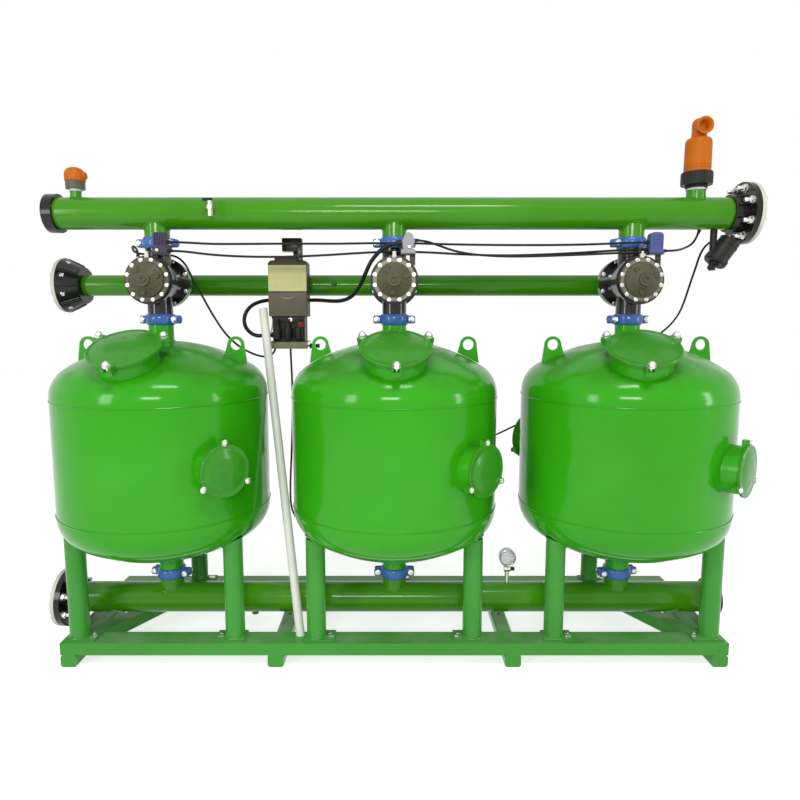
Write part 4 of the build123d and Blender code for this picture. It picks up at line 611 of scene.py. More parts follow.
# %% Shape of one fastener
def add_fastener(mesh, base, axis, height, half):
    """Washer, chamfered hexagon and stud end, all inside the plain hexagon's height."""
    corner = half / math.cos(math.pi / 6)
    turn_profile(mesh, [(0, 0), (corner * 0.99, 0), (corner * 0.99, height * 0.14), (0, height * 0.14)],
                 base, axis, steps=20)
    turn_profile(mesh, [(0, height * 0.15), (corner, height * 0.15), (corner, height * 0.66),
                        (corner * 0.84, height * 0.78), (0, height * 0.78)], base, axis, steps=6)
    turn_profile(mesh, [(half * 0.52, height * 0.70), (half * 0.52, height * 0.90),
                        (half * 0.42, height), (0, height)], base, axis, steps=12)


for name in ("leg_bolts", "coupling_bolts", "bonnet_bolts", "flange_bolts"):
    fasteners = bmesh.new()
    for middle, axis, height, half in loose_bodies(name):
        way = outward(middle, axis)
        if name == "flange_bolts" and abs(axis.y) > 0.9:
            way = Vector((0, -1, 0))
        add_fastener(fasteners, middle - way * height / 2, way, height, half)
    finish_piece(name.replace("bolts", "fasteners"), fasteners, [finishes["zinc"]], stands_for=[name])

# %% [markdown]
# The top hatches close with hinged bolts: a threaded rod stands in each fork of the lid and carries
# a domed nut. The side hatches have the same domed nuts without the rod.

# %% Hatch fasteners
hatch_nuts = bmesh.new()
for middle, axis, height, half in loose_bodies("hatch_bolts"):
    if height > 0.02:
        way = outward(middle, axis)
        foot = middle - way * height / 2
        turn_profile(hatch_nuts, [(0, 0), (0.0056, 0.0), (0.0056, height - 0.004), (0, height - 0.004)],
                     foot, way, steps=14)
        seat, tall = foot + way * 0.014, height - 0.014
        half = 0.012
    else:
        tank = min(TANKS, key=lambda x: abs(x - middle.x))
        way = axis if Vector((middle.x - tank, middle.y, 0)).dot(axis) > 0 else -axis
        seat, tall = middle - way * height / 2, height
    corner = half / math.cos(math.pi / 6)
    turn_profile(hatch_nuts, [(0, 0), (corner, 0), (corner, tall * 0.16), (0, tall * 0.16)], seat, way,
                 steps=20)
    turn_profile(hatch_nuts, [(0, tall * 0.17), (corner * 0.97, tall * 0.17), (corner * 0.97, tall * 0.5),
                              (corner * 0.8, tall * 0.56)], seat, way, steps=6)
    turn_profile(hatch_nuts, [(half * 0.86, tall * 0.52), (half * 0.84, tall * 0.66),
                              (half * 0.66, tall * 0.84), (half * 0.36, tall * 0.96), (0, tall)], seat,
                 way, steps=16)
finish_piece("hatch_fasteners", hatch_nuts, [finishes["zinc"]], stands_for=["hatch_bolts"])

# %% [markdown]
# ## Weld seams
# Each tank is a rolled shell with two pressed ends, and the seams between them show as thin raised
# lines. Smaller welds ring the necks, the legs' tops and feet, and the stubs on the long pipes.
# A texture line would vanish at the outline, so they are laid as real beads.

# %% Seams on the tanks
SHELL_RADIUS = 0.381
CROWN_RADIUS = 0.610
KNUCKLE_RADIUS = 0.117
TOP_TANGENT = 0.972
LOW_TANGENT = 0.545
LEG_CIRCLE = 0.328
LEG_WELD_RADIUS = 0.0355


def ring_points(centre, radius, height, steps=160):
    """A level circle of points."""
    return [Vector((centre + radius * math.cos(2 * math.pi * i / steps),
                    radius * math.sin(2 * math.pi * i / steps), height)) for i in range(steps)]


knuckle_ring = SHELL_RADIUS - KNUCKLE_RADIUS
lean_at_tangent = math.asin(knuckle_ring / (CROWN_RADIUS - KNUCKLE_RADIUS))
crown_depth = CROWN_RADIUS - (CROWN_RADIUS - KNUCKLE_RADIUS) * math.cos(lean_at_tangent)
top_centre = TOP_TANGENT + crown_depth - CROWN_RADIUS
low_centre = LOW_TANGENT - crown_depth + CROWN_RADIUS
print("dome apex at", round(top_centre + CROWN_RADIUS, 4))

seams = bmesh.new()
for x in TANKS:
    for height in (0.962, 0.555):
        weld_bead(seams, ring_points(x, SHELL_RADIUS + 0.0004, height), 0.0022)
    neck = 0.0452
    weld_bead(seams, ring_points(x, neck, top_centre + math.sqrt(CROWN_RADIUS**2 - neck**2), 40), 0.0035)
    weld_bead(seams, ring_points(x, neck, low_centre - math.sqrt(CROWN_RADIUS**2 - neck**2), 40), 0.0035)
finish_piece("tank_seams", seams, [finishes["tank_green"]])

# %% Welds of legs and stubs
leg_welds = bmesh.new()
for x in TANKS:
    for angle in (90.0, 210.0, 330.0):
        a = math.radians(angle)
        lx, ly = x + LEG_CIRCLE * math.cos(a), LEG_CIRCLE * math.sin(a)
        foot, top = [], []
        for i in range(36):
            b = 2 * math.pi * i / 36
            px, py = lx + LEG_WELD_RADIUS * math.cos(b), ly + LEG_WELD_RADIUS * math.sin(b)
            foot.append(Vector((px, py, 0.0975)))
            reach = math.hypot(px - x, py)
            if reach < CROWN_RADIUS * math.sin(lean_at_tangent):
                high = low_centre - math.sqrt(CROWN_RADIUS**2 - reach**2)
            else:
                high = LOW_TANGENT - math.sqrt(max(0.0, KNUCKLE_RADIUS**2 - (reach - knuckle_ring)**2))
            top.append(Vector((px, py, high - 0.001)))
        weld_bead(leg_welds, foot, 0.003)
        weld_bead(leg_welds, top, 0.0028)
finish_piece("leg_welds", leg_welds, [finishes["frame_green"]])

stub_welds = bmesh.new()
for pipe_z, up, spots in ((INLET_Z, -1, [(x, STUB_RADIUS) for x in TANKS]),
                          (OUTLET_Z, 1, [(x, STUB_RADIUS) for x in TANKS]),
                          (INLET_Z, 1, [(LARGE_AIR_X, 0.033), (SMALL_AIR_X, 0.019)])):
    for x, radius in spots:
        seam = []
        for i in range(36):
            b = 2 * math.pi * i / 36
            px, py = (radius + 0.001) * math.cos(b), (radius + 0.001) * math.sin(b)
            seam.append(Vector((x + px, py, pipe_z + up * math.sqrt(PIPE_RADIUS**2 - py**2))))
        weld_bead(stub_welds, seam, 0.0028)
for x in TANKS:
    seam = []
    for i in range(36):
        b = 2 * math.pi * i / 36
        px, pz = 0.0415 * math.cos(b), 0.0415 * math.sin(b)
        seam.append(Vector((x + px, FLUSH_Y - math.sqrt(max(0.0, FLUSH_RADIUS**2 - pz**2)), FLUSH_Z + pz)))
    weld_bead(stub_welds, seam, 0.0025)
finish_piece("pipe_welds", stub_welds, [finishes["pipe_green"]])

# %% [markdown]
# ## Grooved couplings
# A coupling is two cast halves that grip grooves in both pipe ends. Each half is a rounded shell
# with an ear at either end, and two bolts pull the ears together. A spun ring with ears added on
# both sides of a narrow gap gives that shape with few faces.

# %% Couplings
couplings = bmesh.new()
for z in (1.519, 1.243, 0.272):
    for x in TANKS:
        turn = math.radians(12.0) * (0 if x == 0 else math.copysign(1, x))
        profile = [(0.0449, -0.0198), (0.0478, -0.0198), (0.0505, -0.0170), (0.0528, -0.0100),
                   (0.0529, 0.0100), (0.0505, 0.0170), (0.0478, 0.0198), (0.0449, 0.0198), (0.0449, -0.0198)]
        turn_profile(couplings, profile, (x, 0, z), (0, 0, 1), steps=56)
        for side in (-1, 1):
            for half in (-1, 1):
                inner, outer = 0.046, 0.0775
                ends = sorted((side * inner, side * outer))
                faces = sorted((half * 0.0016, half * 0.0192))
                rounded_block(couplings, (x + ends[0], faces[0], z - 0.0150),
                              (x + ends[1], faces[1], z + 0.0150), 0.0065, segments=3, turn=(turn, (x, 0, z)))
finish_piece("grooved_couplings", couplings, [finishes["coupling_blue"]], stands_for=["coupling_halves"])

# %% [markdown]
# ## Hatch lids
# The lids are castings: a raised rim, a slightly domed middle and ears for the bolts. The dome is
# plain and gets its life from the cast skin and the gloss.

# %% Top hatch lids
def spin_z(angle):
    """Horizontal direction at an angle from the front, towards the right."""
    a = math.radians(angle)
    return Vector((math.sin(a), -math.cos(a), 0))


HATCH_TILT = 27.0
HATCH_OUT = 0.296
HATCH_Z = 1.164
TOP_LID_THICKNESS = 0.022
top_lids = bmesh.new()
for x, turn in zip(TANKS, (-3.0, 1.0, -10.0)):
    out = spin_z(turn)
    tilt = math.radians(HATCH_TILT)
    normal = Vector((out.x * math.sin(tilt), out.y * math.sin(tilt), math.cos(tilt)))
    face = Vector((x + out.x * HATCH_OUT, out.y * HATCH_OUT, HATCH_Z))
    seat = face - normal * TOP_LID_THICKNESS
    profile = [(0, 0.0002), (0.119, 0.0002), (0.120, 0.002), (0.120, 0.011), (0.118, 0.0135), (0.113, 0.0140),
               (0.110, 0.0128), (0.104, 0.0130), (0.098, 0.0150), (0.085, 0.0175), (0.055, 0.0205),
               (0.025, 0.0217), (0, 0.0220)]
    turn_profile(top_lids, profile, seat, normal, steps=96)
    side = Vector((-out.y, out.x, 0))
    over = normal.cross(side)
    for angle in (-90, 30, 150):
        a = math.radians(angle)
        reach = side * math.cos(a) + over * math.sin(a)
        cross = normal.cross(reach)
        for way in (-1, 1):
            corners = []
            for r, c in ((0.108, 0.0072), (0.138, 0.0072), (0.1425, 0.0105), (0.139, 0.0165),
                         (0.108, 0.0200)):
                corners.append(seat + reach * r + cross * (way * c))
            low = [top_lids.verts.new(p + normal * 0.0002) for p in corners]
            high = [top_lids.verts.new(p + normal * 0.0136) for p in corners]
            top_lids.faces.new(low)
            top_lids.faces.new(high)
            for i in range(len(corners)):
                j = (i + 1) % len(corners)
                top_lids.faces.new([low[i], low[j], high[j], high[i]])
finish_piece("top_lids", top_lids, [finishes["lid_green"]], stands_for=["top_hatch_lids"])

# %% Side hatch lids
SIDE_HATCH_Z = 0.745
SIDE_LID_REACH = 0.443
SIDE_LID_THICKNESS = 0.018
side_lids = bmesh.new()
for x in TANKS:
    for turn in (45.0, -135.0):
        out = spin_z(turn)
        seat = Vector((x, 0, SIDE_HATCH_Z)) + out * (SIDE_LID_REACH - SIDE_LID_THICKNESS)
        profile = [(0, 0.0002), (0.0895, 0.0002), (0.0905, 0.002), (0.0905, 0.0085), (0.0885, 0.0100),
                   (0.0820, 0.0100), (0.076, 0.0092), (0.070, 0.0105), (0.062, 0.0138), (0.040, 0.0165),
                   (0.018, 0.0178), (0, 0.0180)]
        turn_profile(side_lids, profile, seat, out, steps=72)
        side = Vector((-out.y, out.x, 0))
        over = out.cross(side)
        for angle in (90, 210, 330):
            a = math.radians(angle)
            reach = side * math.cos(a) + over * math.sin(a)
            turn_profile(side_lids, [(0, 0.0003), (0.0120, 0.0003), (0.0120, 0.0090), (0.0112, 0.0098),
                                     (0, 0.0098)],
                         seat + reach * 0.0915, out, steps=20)
finish_piece("side_lids", side_lids, [finishes["lid_green"]], stands_for=["side_hatch_lids"])

# %% [markdown]
# ## Plates with an outline
# Relays, the controller's door and its cover are moulded plates whose outline matters more than
# their section. Drawing the outline once and pushing it through with a small bevel keeps the
# rounded corners that catch the light.

# %% Outline tool
def outline_plate(mesh, outline, front, back, bevel, finish=0, segments=2):
    """Push an outline of (x, z) points from one y to another and round its edges."""
    part = bmesh.new()
    near = [part.verts.new((x, front, z)) for x, z in outline]
    far = [part.verts.new((x, back, z)) for x, z in outline]
    part.faces.new(near)
    part.faces.new(far)
    for i in range(len(outline)):
        j = (i + 1) % len(outline)
        part.faces.new([near[i], near[j], far[j], far[i]])
    bmesh.ops.recalc_face_normals(part, faces=part.faces[:])
    rim = [e for e in part.edges if abs(e.verts[0].co.y - e.verts[1].co.y) < 1e-6]
    bmesh.ops.bevel(part, geom=rim, offset=bevel, segments=segments, profile=0.5, affect="EDGES")
    copies = {vert: mesh.verts.new(vert.co) for vert in part.verts}
    for face in part.faces:
        new = mesh.faces.new([copies[vert] for vert in face.verts])
        new.material_index = finish
    part.free()


def round_rectangle(left, right, low, high, top_radius, low_radius, steps=5):
    """Corner points of a rectangle with rounded corners, as (x, z)."""
    points = []
    for cx, cz, r, start in ((right - low_radius, low + low_radius, low_radius, -90),
                             (right - top_radius, high - top_radius, top_radius, 0),
                             (left + top_radius, high - top_radius, top_radius, 90),
                             (left + low_radius, low + low_radius, low_radius, 180)):
        for i in range(steps + 1):
            a = math.radians(start + 90 * i / steps)
            points.append((cx + r * math.cos(a), cz + r * math.sin(a)))
    return points


print("corner points", len(round_rectangle(0, 1, 0, 1, 0.1, 0.1)))

# %% [markdown]
# ## Valve covers
# The round cover of each valve has a hollow plug in its centre, three small bosses and a pale
# nipple on top where a command tube can be fitted.

# %% Bosses and nipples
bosses = bmesh.new()
nipples = bmesh.new()
for x in TANKS:
    centre = Vector((x, -0.157, VALVE_Z))
    turn_profile(bosses, [(0.0125, -0.001), (0.0125, 0.003), (0.0110, 0.0045), (0.0075, 0.0045),
                          (0.0062, 0.0035), (0.0062, -0.0005), (0, -0.0005)], centre, (0, -1, 0), steps=28)
    for angle, size in ((128.0, 0.0100), (18.0, 0.0105), (262.0, 0.0085)):
        a = math.radians(angle)
        spot = Vector((x + 0.044 * math.cos(a), -0.131, VALVE_Z + 0.044 * math.sin(a)))
        turn_profile(bosses, [(size, 0), (size, 0.0085), (size * 0.88, 0.0098), (size * 0.55, 0.0098),
                              (size * 0.48, 0.0088), (0, 0.0088)], spot, (0, -1, 0), steps=24)
    turn_profile(bosses, [(0.0735, 0.0), (0.0735, 0.0006), (0.0765, 0.0006), (0.0765, 0.0)],
                 (x, -0.1151, VALVE_Z), (0, -1, 0), steps=72)
    for spot in [(x, -0.108, 1.4575)] + ([(-0.900, -0.095, 1.4560)] if x < 0 else []):
        tall = 0.022 if spot[0] == x else 0.0052
        turn_profile(nipples, [(0, 0), (0.0080, 0), (0.0080, tall * 0.5), (0.0072, tall * 0.55)], spot,
                     (0, 0, 1), steps=6)
        turn_profile(nipples, [(0.0068, tall * 0.5), (0.0068, tall * 0.92), (0.0058, tall), (0, tall)],
                     spot, (0, 0, 1), steps=16)
# The three rims are given three shades: dark at the left, palest in the middle and pale at the right.
rims = bmesh.new()
for i, x in enumerate(TANKS):
    turn_profile(rims, [(0.0605, -0.0002), (0.0612, 0.0006), (0.0758, 0.0006), (0.0768, -0.0002)],
                 (x, -0.1150, VALVE_Z), (0, -1, 0), steps=72, finish=i)
rim_finishes = [casting("cover_rim_dark", (0.130, 0.122, 0.080), roughness=0.4, grain=1.6),
                casting("cover_rim_palest", (0.330, 0.315, 0.240), roughness=0.36, grain=1.6),
                casting("cover_rim_light", (0.230, 0.220, 0.165), roughness=0.38, grain=1.6)]
finish_piece("cover_rims", rims, rim_finishes)
finish_piece("cover_bosses", bosses, [finishes["bonnet_olive"]])
finish_piece("cover_nipples", nipples, [finishes["ivory_plastic"]])

# %% [markdown]
# ## Relays
# Three small hydraulic relays sit on shelves beside the upper couplings. They are of three kinds:
# a dark ribbed one at the left, a light one with a pointed top in the middle and a blue-grey one
# with a rounded top at the right. The left and middle ones have a screw on the front.

# %% Relay finishes and shapes
relay_violet = plastic("relay_violet", (0.060, 0.050, 0.085), roughness=0.4)
relay_blue = plastic("relay_blue_grey", (0.085, 0.105, 0.28), roughness=0.36)
relay_light = finishes["relay_grey"]
FRONT, BACK, LOW, HIGH = -0.1175, -0.0785, 1.4712, 1.5448
RELAY_OFFSET = 0.048

relay_left = bmesh.new()
middle = TANKS[0] + RELAY_OFFSET
outline_plate(relay_left, [(middle - 0.0225, LOW), (middle + 0.0225, LOW), (middle + 0.0225, HIGH - 0.006),
                           (middle + 0.016, HIGH), (middle - 0.016, HIGH), (middle - 0.0225, HIGH - 0.006)],
              FRONT + 0.004, BACK, 0.0022)
for i in range(5):
    rx = middle - 0.016 + 0.008 * i
    rounded_block(relay_left, (rx - 0.0019, FRONT, LOW + 0.030),
                  (rx + 0.0019, FRONT + 0.006, HIGH - 0.004), 0.0009)
rounded_block(relay_left, (middle - 0.0255, FRONT + 0.002, LOW), (middle + 0.0255, BACK, LOW + 0.020), 0.0025)
turn_profile(relay_left, [(0.0055, 0), (0.0055, 0.004), (0.0045, 0.005), (0, 0.005)],
             (middle - 0.008, FRONT + 0.0025, LOW + 0.012), (0, -1, 0), steps=18, finish=1)
finish_piece("relay_left", relay_left, [relay_violet, finishes["zinc"]], stands_for=["valve_relays"])

relay_middle = bmesh.new()
middle = TANKS[1] + RELAY_OFFSET
outline_plate(relay_middle, [(middle - 0.018, LOW + 0.012), (middle + 0.018, LOW + 0.012),
                             (middle + 0.0215, LOW + 0.050), (middle + 0.013, HIGH - 0.005),
                             (middle + 0.002, HIGH), (middle - 0.009, HIGH - 0.004),
                             (middle - 0.0205, LOW + 0.046)], FRONT + 0.002, BACK + 0.004, 0.003, segments=3)
rounded_block(relay_middle, (middle - 0.0255, FRONT, LOW), (middle + 0.0255, BACK, LOW + 0.014), 0.0028)
turn_profile(relay_middle, [(0.0050, 0), (0.0050, 0.003), (0.004, 0.0042), (0, 0.0042)],
             (middle + 0.004, FRONT + 0.0028, LOW + 0.024), (0, -1, 0), steps=18, finish=1)
finish_piece("relay_middle", relay_middle, [relay_light, finishes["zinc"]], stands_for=["valve_relays"])

relay_right = bmesh.new()
middle = TANKS[2] + RELAY_OFFSET
outline_plate(relay_right, round_rectangle(middle - 0.0225, middle + 0.0225, LOW + 0.002, HIGH, 0.014, 0.003),
              FRONT + 0.002, BACK, 0.0028, segments=3)
rounded_block(relay_right, (middle - 0.0255, FRONT + 0.001, LOW), (middle + 0.0255, BACK, LOW + 0.016), 0.003)
for i in range(4):
    rz = LOW + 0.030 + 0.009 * i
    rounded_block(relay_right, (middle - 0.016, FRONT + 0.0005, rz),
                  (middle + 0.016, FRONT + 0.004, rz + 0.0032), 0.0009)
finish_piece("relay_right", relay_right, [relay_blue], stands_for=["valve_relays"])

# %% [markdown]
# ## Controller
# The controller is a moulded box. Its beige door swings up on a pin, the grey cover below it is
# fixed and has a plain crescent grip, painted pale grey as a highlight, and three small solenoids
# hang underneath. The door and its hinge barrel ride on the door's own body so that they swing
# together.

# %% Door and cover
door = bmesh.new()
outline_plate(door, round_rectangle(-0.4872, -0.3388, 1.3505, 1.4515, 0.004, 0.003), 0.1105, 0.1228,
              0.0022, segments=3)
outline_plate(door, round_rectangle(-0.4875, -0.3385, 1.4510, 1.4638, 0.0110, 0.001), 0.1110, 0.1228,
              0.0004, finish=1)
outline_plate(door, round_rectangle(-0.4700, -0.3560, 1.3680, 1.4400, 0.008, 0.008), 0.1102, 0.1120, 0.0006)
rounded_block(door, (-0.4505, 0.1145, 1.4600), (-0.3755, 0.1215, 1.4745), 0.0006, finish=1)
turn_profile(door, [(0.0031, 0), (0.0060, 0), (0.0060, 0.0755), (0.0031, 0.0755), (0.0031, 0)],
             (-0.45075, 0.118, 1.478), (1, 0, 0), steps=28, finish=1)
finish_piece("door_shell", door, [finishes["case_beige"], finishes["case_grey"]], body="controller_door",
             stands_for=["controller_door"])

cover = bmesh.new()
outline_plate(cover, round_rectangle(-0.4878, -0.3382, 1.2545, 1.3478, 0.004, 0.007), 0.1100, 0.1249,
              0.0035, segments=3)
crescent = []
for i in range(17):
    t = i / 8 - 1
    crescent.append((-0.413 + 0.031 * t, 1.3335 - 0.0115 * (1 - t * t)))
for i in range(15, 0, -1):
    t = i / 8 - 1
    crescent.append((-0.413 + 0.031 * t, 1.3335 - 0.0082 * (1 - t * t)))
outline_plate(cover, crescent, 0.1090, 0.1110, 0.0003, finish=1)
# The crescent's pale grey is a painted highlight on the grip.
grip_highlight_grey = plastic("grip_painted_highlight", (0.33, 0.32, 0.27), roughness=0.3, lighter=1.2)
finish_piece("cover_shell", cover, [finishes["grey_plastic"], grip_highlight_grey], stands_for=["controller_cover"])

# %% Bracket of the controller
bracket = bmesh.new()
rounded_block(bracket, (-0.4520, 0.2037, 1.1290), (-0.3740, 0.2077, 1.4600), 0.0012)
rounded_block(bracket, (-0.4030, 0.2030, 1.4400), (-0.3650, 0.2077, 1.5590), 0.0012)
rounded_block(bracket, (-0.3690, 0.1850, 1.4720), (-0.3650, 0.2040, 1.5590), 0.0010)
for low, high in (((-0.4400, 0.1600, 1.5560), (-0.3650, 0.2050, 1.5590)),
                  ((-0.4400, 0.1600, 1.5080), (-0.3860, 0.2050, 1.5110)),
                  ((-0.4400, 0.1600, 1.5090), (-0.4370, 0.2050, 1.5580)),
                  ((-0.4400, 0.2020, 1.5090), (-0.3860, 0.2050, 1.5580))):
    rounded_block(bracket, low, high, 0.0008)
rounded_block(bracket, (-0.4880, 0.1100, 1.1540), (-0.3380, 0.2050, 1.1580), 0.0010)
rounded_block(bracket, (-0.4880, 0.1100, 1.1290), (-0.3380, 0.1140, 1.1580), 0.0012, finish=1)
for rivet in (-0.4700, -0.4130, -0.3560):
    turn_profile(bracket, [(0.0042, 0), (0.0036, 0.0014), (0, 0.0020)], (rivet, 0.1100, 1.1430),
                 (0, -1, 0), steps=14, finish=1)
shelf_paint = painted("shelf_worn_paint", (0.21, 0.20, 0.13), dust_and_shade=0.3, roughness=0.4, coat=0.0)
finish_piece("controller_hanger", bracket, [finishes["bracket_olive"], shelf_paint],
             stands_for=["controller_bracket"])

# %% Solenoids under the controller
red_cap = plastic("solenoid_red_cap", (0.26, 0.022, 0.015), roughness=0.35)
solenoids = bmesh.new()
for sx in (-0.456, -0.413, -0.372):
    turn_profile(solenoids, [(0, 0), (0.0150, 0), (0.0160, 0.002), (0.0160, 0.042), (0.0145, 0.045),
                             (0.0110, 0.046), (0.0110, 0.060), (0.0075, 0.062), (0.0075, 0.078), (0, 0.078)],
                 (sx, 0.1085, 1.1665), (0, 0, 1), steps=28)
    for k in range(4):
        turn_profile(solenoids, [(0.0155, 0), (0.0172, 0.0006), (0.0172, 0.0024), (0.0155, 0.003)],
                     (sx, 0.1085, 1.172 + 0.009 * k), (0, 0, 1), steps=28)
    rounded_block(solenoids, (sx - 0.010, 0.110, 1.180), (sx + 0.010, 0.1262, 1.205), 0.002)
rounded_block(solenoids, (-0.4745, 0.1180, 1.2320), (-0.3515, 0.1262, 1.2530), 0.002)
turn_profile(solenoids, [(0.0085, 0), (0.0085, 0.003), (0.0060, 0.004), (0.0052, 0.002), (0, 0.002)],
             (-0.405, 0.1180, 1.2415), (0, -1, 0), steps=24, finish=1)
turn_profile(solenoids, [(0, 0), (0.0105, 0), (0.0115, 0.002), (0.0115, 0.018), (0.0085, 0.021), (0, 0.021)],
             (-0.363, 0.1085, 1.2130), (0, 0, 1), steps=24, finish=2)
finish_piece("solenoid_row", solenoids, [finishes["black_plastic"], finishes["zinc"], red_cap])

plug = bmesh.new()
rounded_block(plug, (-0.3350, 0.1360, 1.1290), (-0.3140, 0.1580, 1.1490), 0.003)
rounded_block(plug, (-0.3120, 0.1380, 1.1310), (-0.2960, 0.1560, 1.1470), 0.0025)
turn_profile(plug, [(0, 0), (0.0035, 0), (0.0035, 0.045), (0, 0.045)], (-0.352, 0.147, 1.139), (1, 0, 0),
             steps=12)
finish_piece("cable_joint", plug, [finishes["black_plastic"]])

# %% [markdown]
# ## Air valves
# Both air valves are moulded in orange plastic. The large one stands on a ribbed black nut with
# white thread tape below it, and its bent neck ends in a round mouth. The small one is a dome with
# a short spout.

# %% Large air valve
air = bmesh.new()
body = [(0.0402, 1.7683), (0.0458, 1.7683), (0.0460, 1.7720), (0.0460, 1.7780), (0.0446, 1.7788),
        (0.0446, 1.7815), (0.0460, 1.7825), (0.0460, 1.7865), (0.0446, 1.7873), (0.0446, 1.7900),
        (0.0459, 1.7910), (0.0450, 1.8680), (0.0440, 1.8770), (0.0405, 1.8835), (0.0340, 1.8870),
        (0.0282, 1.8890), (0.0262, 1.8950), (0.0252, 1.9120), (0.0258, 1.9330), (0.0240, 1.9440),
        (0.0180, 1.9520), (0.0090, 1.9557), (0.0, 1.9560)]
turn_profile(air, body, (LARGE_AIR_X, 0, 0), (0, 0, 1), steps=64)
mouth = [(0.0240, 0.0), (0.0255, 0.028), (0.0280, 0.034), (0.0298, 0.039), (0.0300, 0.0440), (0.0275, 0.0460),
         (0.0225, 0.0450), (0.0190, 0.0410), (0.0172, 0.0300), (0.0170, 0.0120), (0.0, 0.0120)]
turn_profile(air, mouth, (LARGE_AIR_X, 0, 1.922), (0, -1, 0), steps=48)
finish_piece("large_air_valve", air, [finishes["orange_plastic"]], stands_for=["air_valve_body"])

ribs = bmesh.new()
for i in range(30):
    a = 2 * math.pi * i / 30
    spot = (LARGE_AIR_X + 0.0519 * math.cos(a), 0.0519 * math.sin(a), 1.7275)
    turn_profile(ribs, [(0, 0), (0.0022, 0.001), (0.0022, 0.036), (0, 0.037)], spot, (0, 0, 1), steps=8)
finish_piece("air_nut_ribs", ribs, [finishes["black_plastic"]])

tape_white = plastic("thread_tape", (0.78, 0.78, 0.75), roughness=0.6, lighter=1.1)
tape = bmesh.new()
for height in (1.7080, 1.7108):
    seam = [Vector((LARGE_AIR_X + 0.0333 * math.cos(a), 0.0333 * math.sin(a),
                    height + 0.0008 * math.sin(a * 3 + height * 900)))
            for a in (2 * math.pi * i / 60 for i in range(60))]
    weld_bead(tape, seam, 0.0024, ripple=0.5)
turn_profile(tape, [(0.0188, 0.0), (0.0212, 0.0003), (0.0214, 0.0040), (0.0212, 0.0083), (0.0188, 0.0086)],
             (SMALL_AIR_X, 0, 1.7022), (0, 0, 1), steps=36)
finish_piece("thread_tape", tape, [tape_white])

# %% Small air valve
dome = bmesh.new()
turn_profile(dome, [(0.0, 1.7382), (0.0345, 1.7382), (0.0355, 1.7400), (0.0355, 1.7600), (0.0345, 1.7670),
                    (0.0310, 1.7750), (0.0245, 1.7815), (0.0150, 1.7858), (0.0070, 1.7870), (0.0, 1.7870)],
             (SMALL_AIR_X, 0, 0), (0, 0, 1), steps=48)
turn_profile(dome, [(0.0120, 0.0), (0.0128, 0.034), (0.0130, 0.0385), (0.0115, 0.0412), (0.0085, 0.0412),
                    (0.0072, 0.0385), (0.0, 0.0360)], (SMALL_AIR_X, 0, 1.7515), (1, 0, 0.18), steps=32)
finish_piece("small_air_dome", dome, [finishes["orange_plastic"]], stands_for=["small_air_valve_cap"])

# %% [markdown]
# ## Flange studs and the cone's ribs
# The flanges are clamped by long studs, and their inner nuts and washers show behind the flange.
# On the flush line the black cone has moulded ribs between its bolts.

# %% Studs and ribs
studs = bmesh.new()
for side, height in ((1, INLET_Z), (-1, OUTLET_Z)):
    for i in range(8):
        a = math.radians(22.5 + 45 * i)
        spot = Vector((side * 1.255, BOLT_CIRCLE * math.cos(a), height + BOLT_CIRCLE * math.sin(a)))
        turn_profile(studs, [(0, 0), (0.0150, 0), (0.0150, 0.0028), (0, 0.0028)], spot, (-side, 0, 0),
                     steps=20)
        turn_profile(studs, [(0, 0.003), (0.0138, 0.003), (0.0138, 0.0120), (0.0115, 0.0142), (0, 0.0142)],
                     spot, (-side, 0, 0), steps=6)
        turn_profile(studs, [(0.0078, 0.012), (0.0078, 0.0300), (0.0066, 0.0320), (0, 0.0320)], spot,
                     (-side, 0, 0), steps=12)
finish_piece("flange_studs", studs, [finishes["zinc"]])

cone_ribs = bmesh.new()
for i in range(8):
    a = math.radians(45 * i)
    across = Vector((0, math.cos(a), math.sin(a)))
    start = Vector((-1.2620, FLUSH_Y, FLUSH_Z)) + across * 0.0715
    end = Vector((-1.3270, FLUSH_Y, FLUSH_Z)) + across * 0.1020
    turn_profile(cone_ribs, [(0, 0), (0.0075, 0.002), (0.0080, 0.030), (0.0075, (end - start).length - 0.002),
                             (0, (end - start).length)], start, end - start, steps=14)
for i in range(8):
    a = math.radians(22.5 + 45 * i)
    spot = Vector((-1.3305, FLUSH_Y + BOLT_CIRCLE * math.cos(a), FLUSH_Z + BOLT_CIRCLE * math.sin(a)))
    turn_profile(cone_ribs, [(0, 0), (0.0150, 0), (0.0150, 0.0150), (0.0130, 0.0170), (0, 0.0170)], spot,
                 (1, 0, 0), steps=20)
    turn_profile(cone_ribs, [(0, 0.017), (0.0128, 0.017), (0.0128, 0.0190), (0, 0.0190)], spot, (1, 0, 0),
                 steps=20, finish=1)
    turn_profile(cone_ribs, [(0, 0.019), (0.0108, 0.019), (0.0108, 0.0275), (0.0085, 0.0295), (0, 0.0295)],
                 spot, (1, 0, 0), steps=6, finish=1)
finish_piece("cone_ribs", cone_ribs, [finishes["cap_black"], finishes["zinc"]])

# %% [markdown]
# ## Command filter, fittings and pipe plug
# The small black filter has a ribbed cap and a drain nub, each tube ends in a push-in nut, and a
# green plug closes a spare port on the flush pipe.

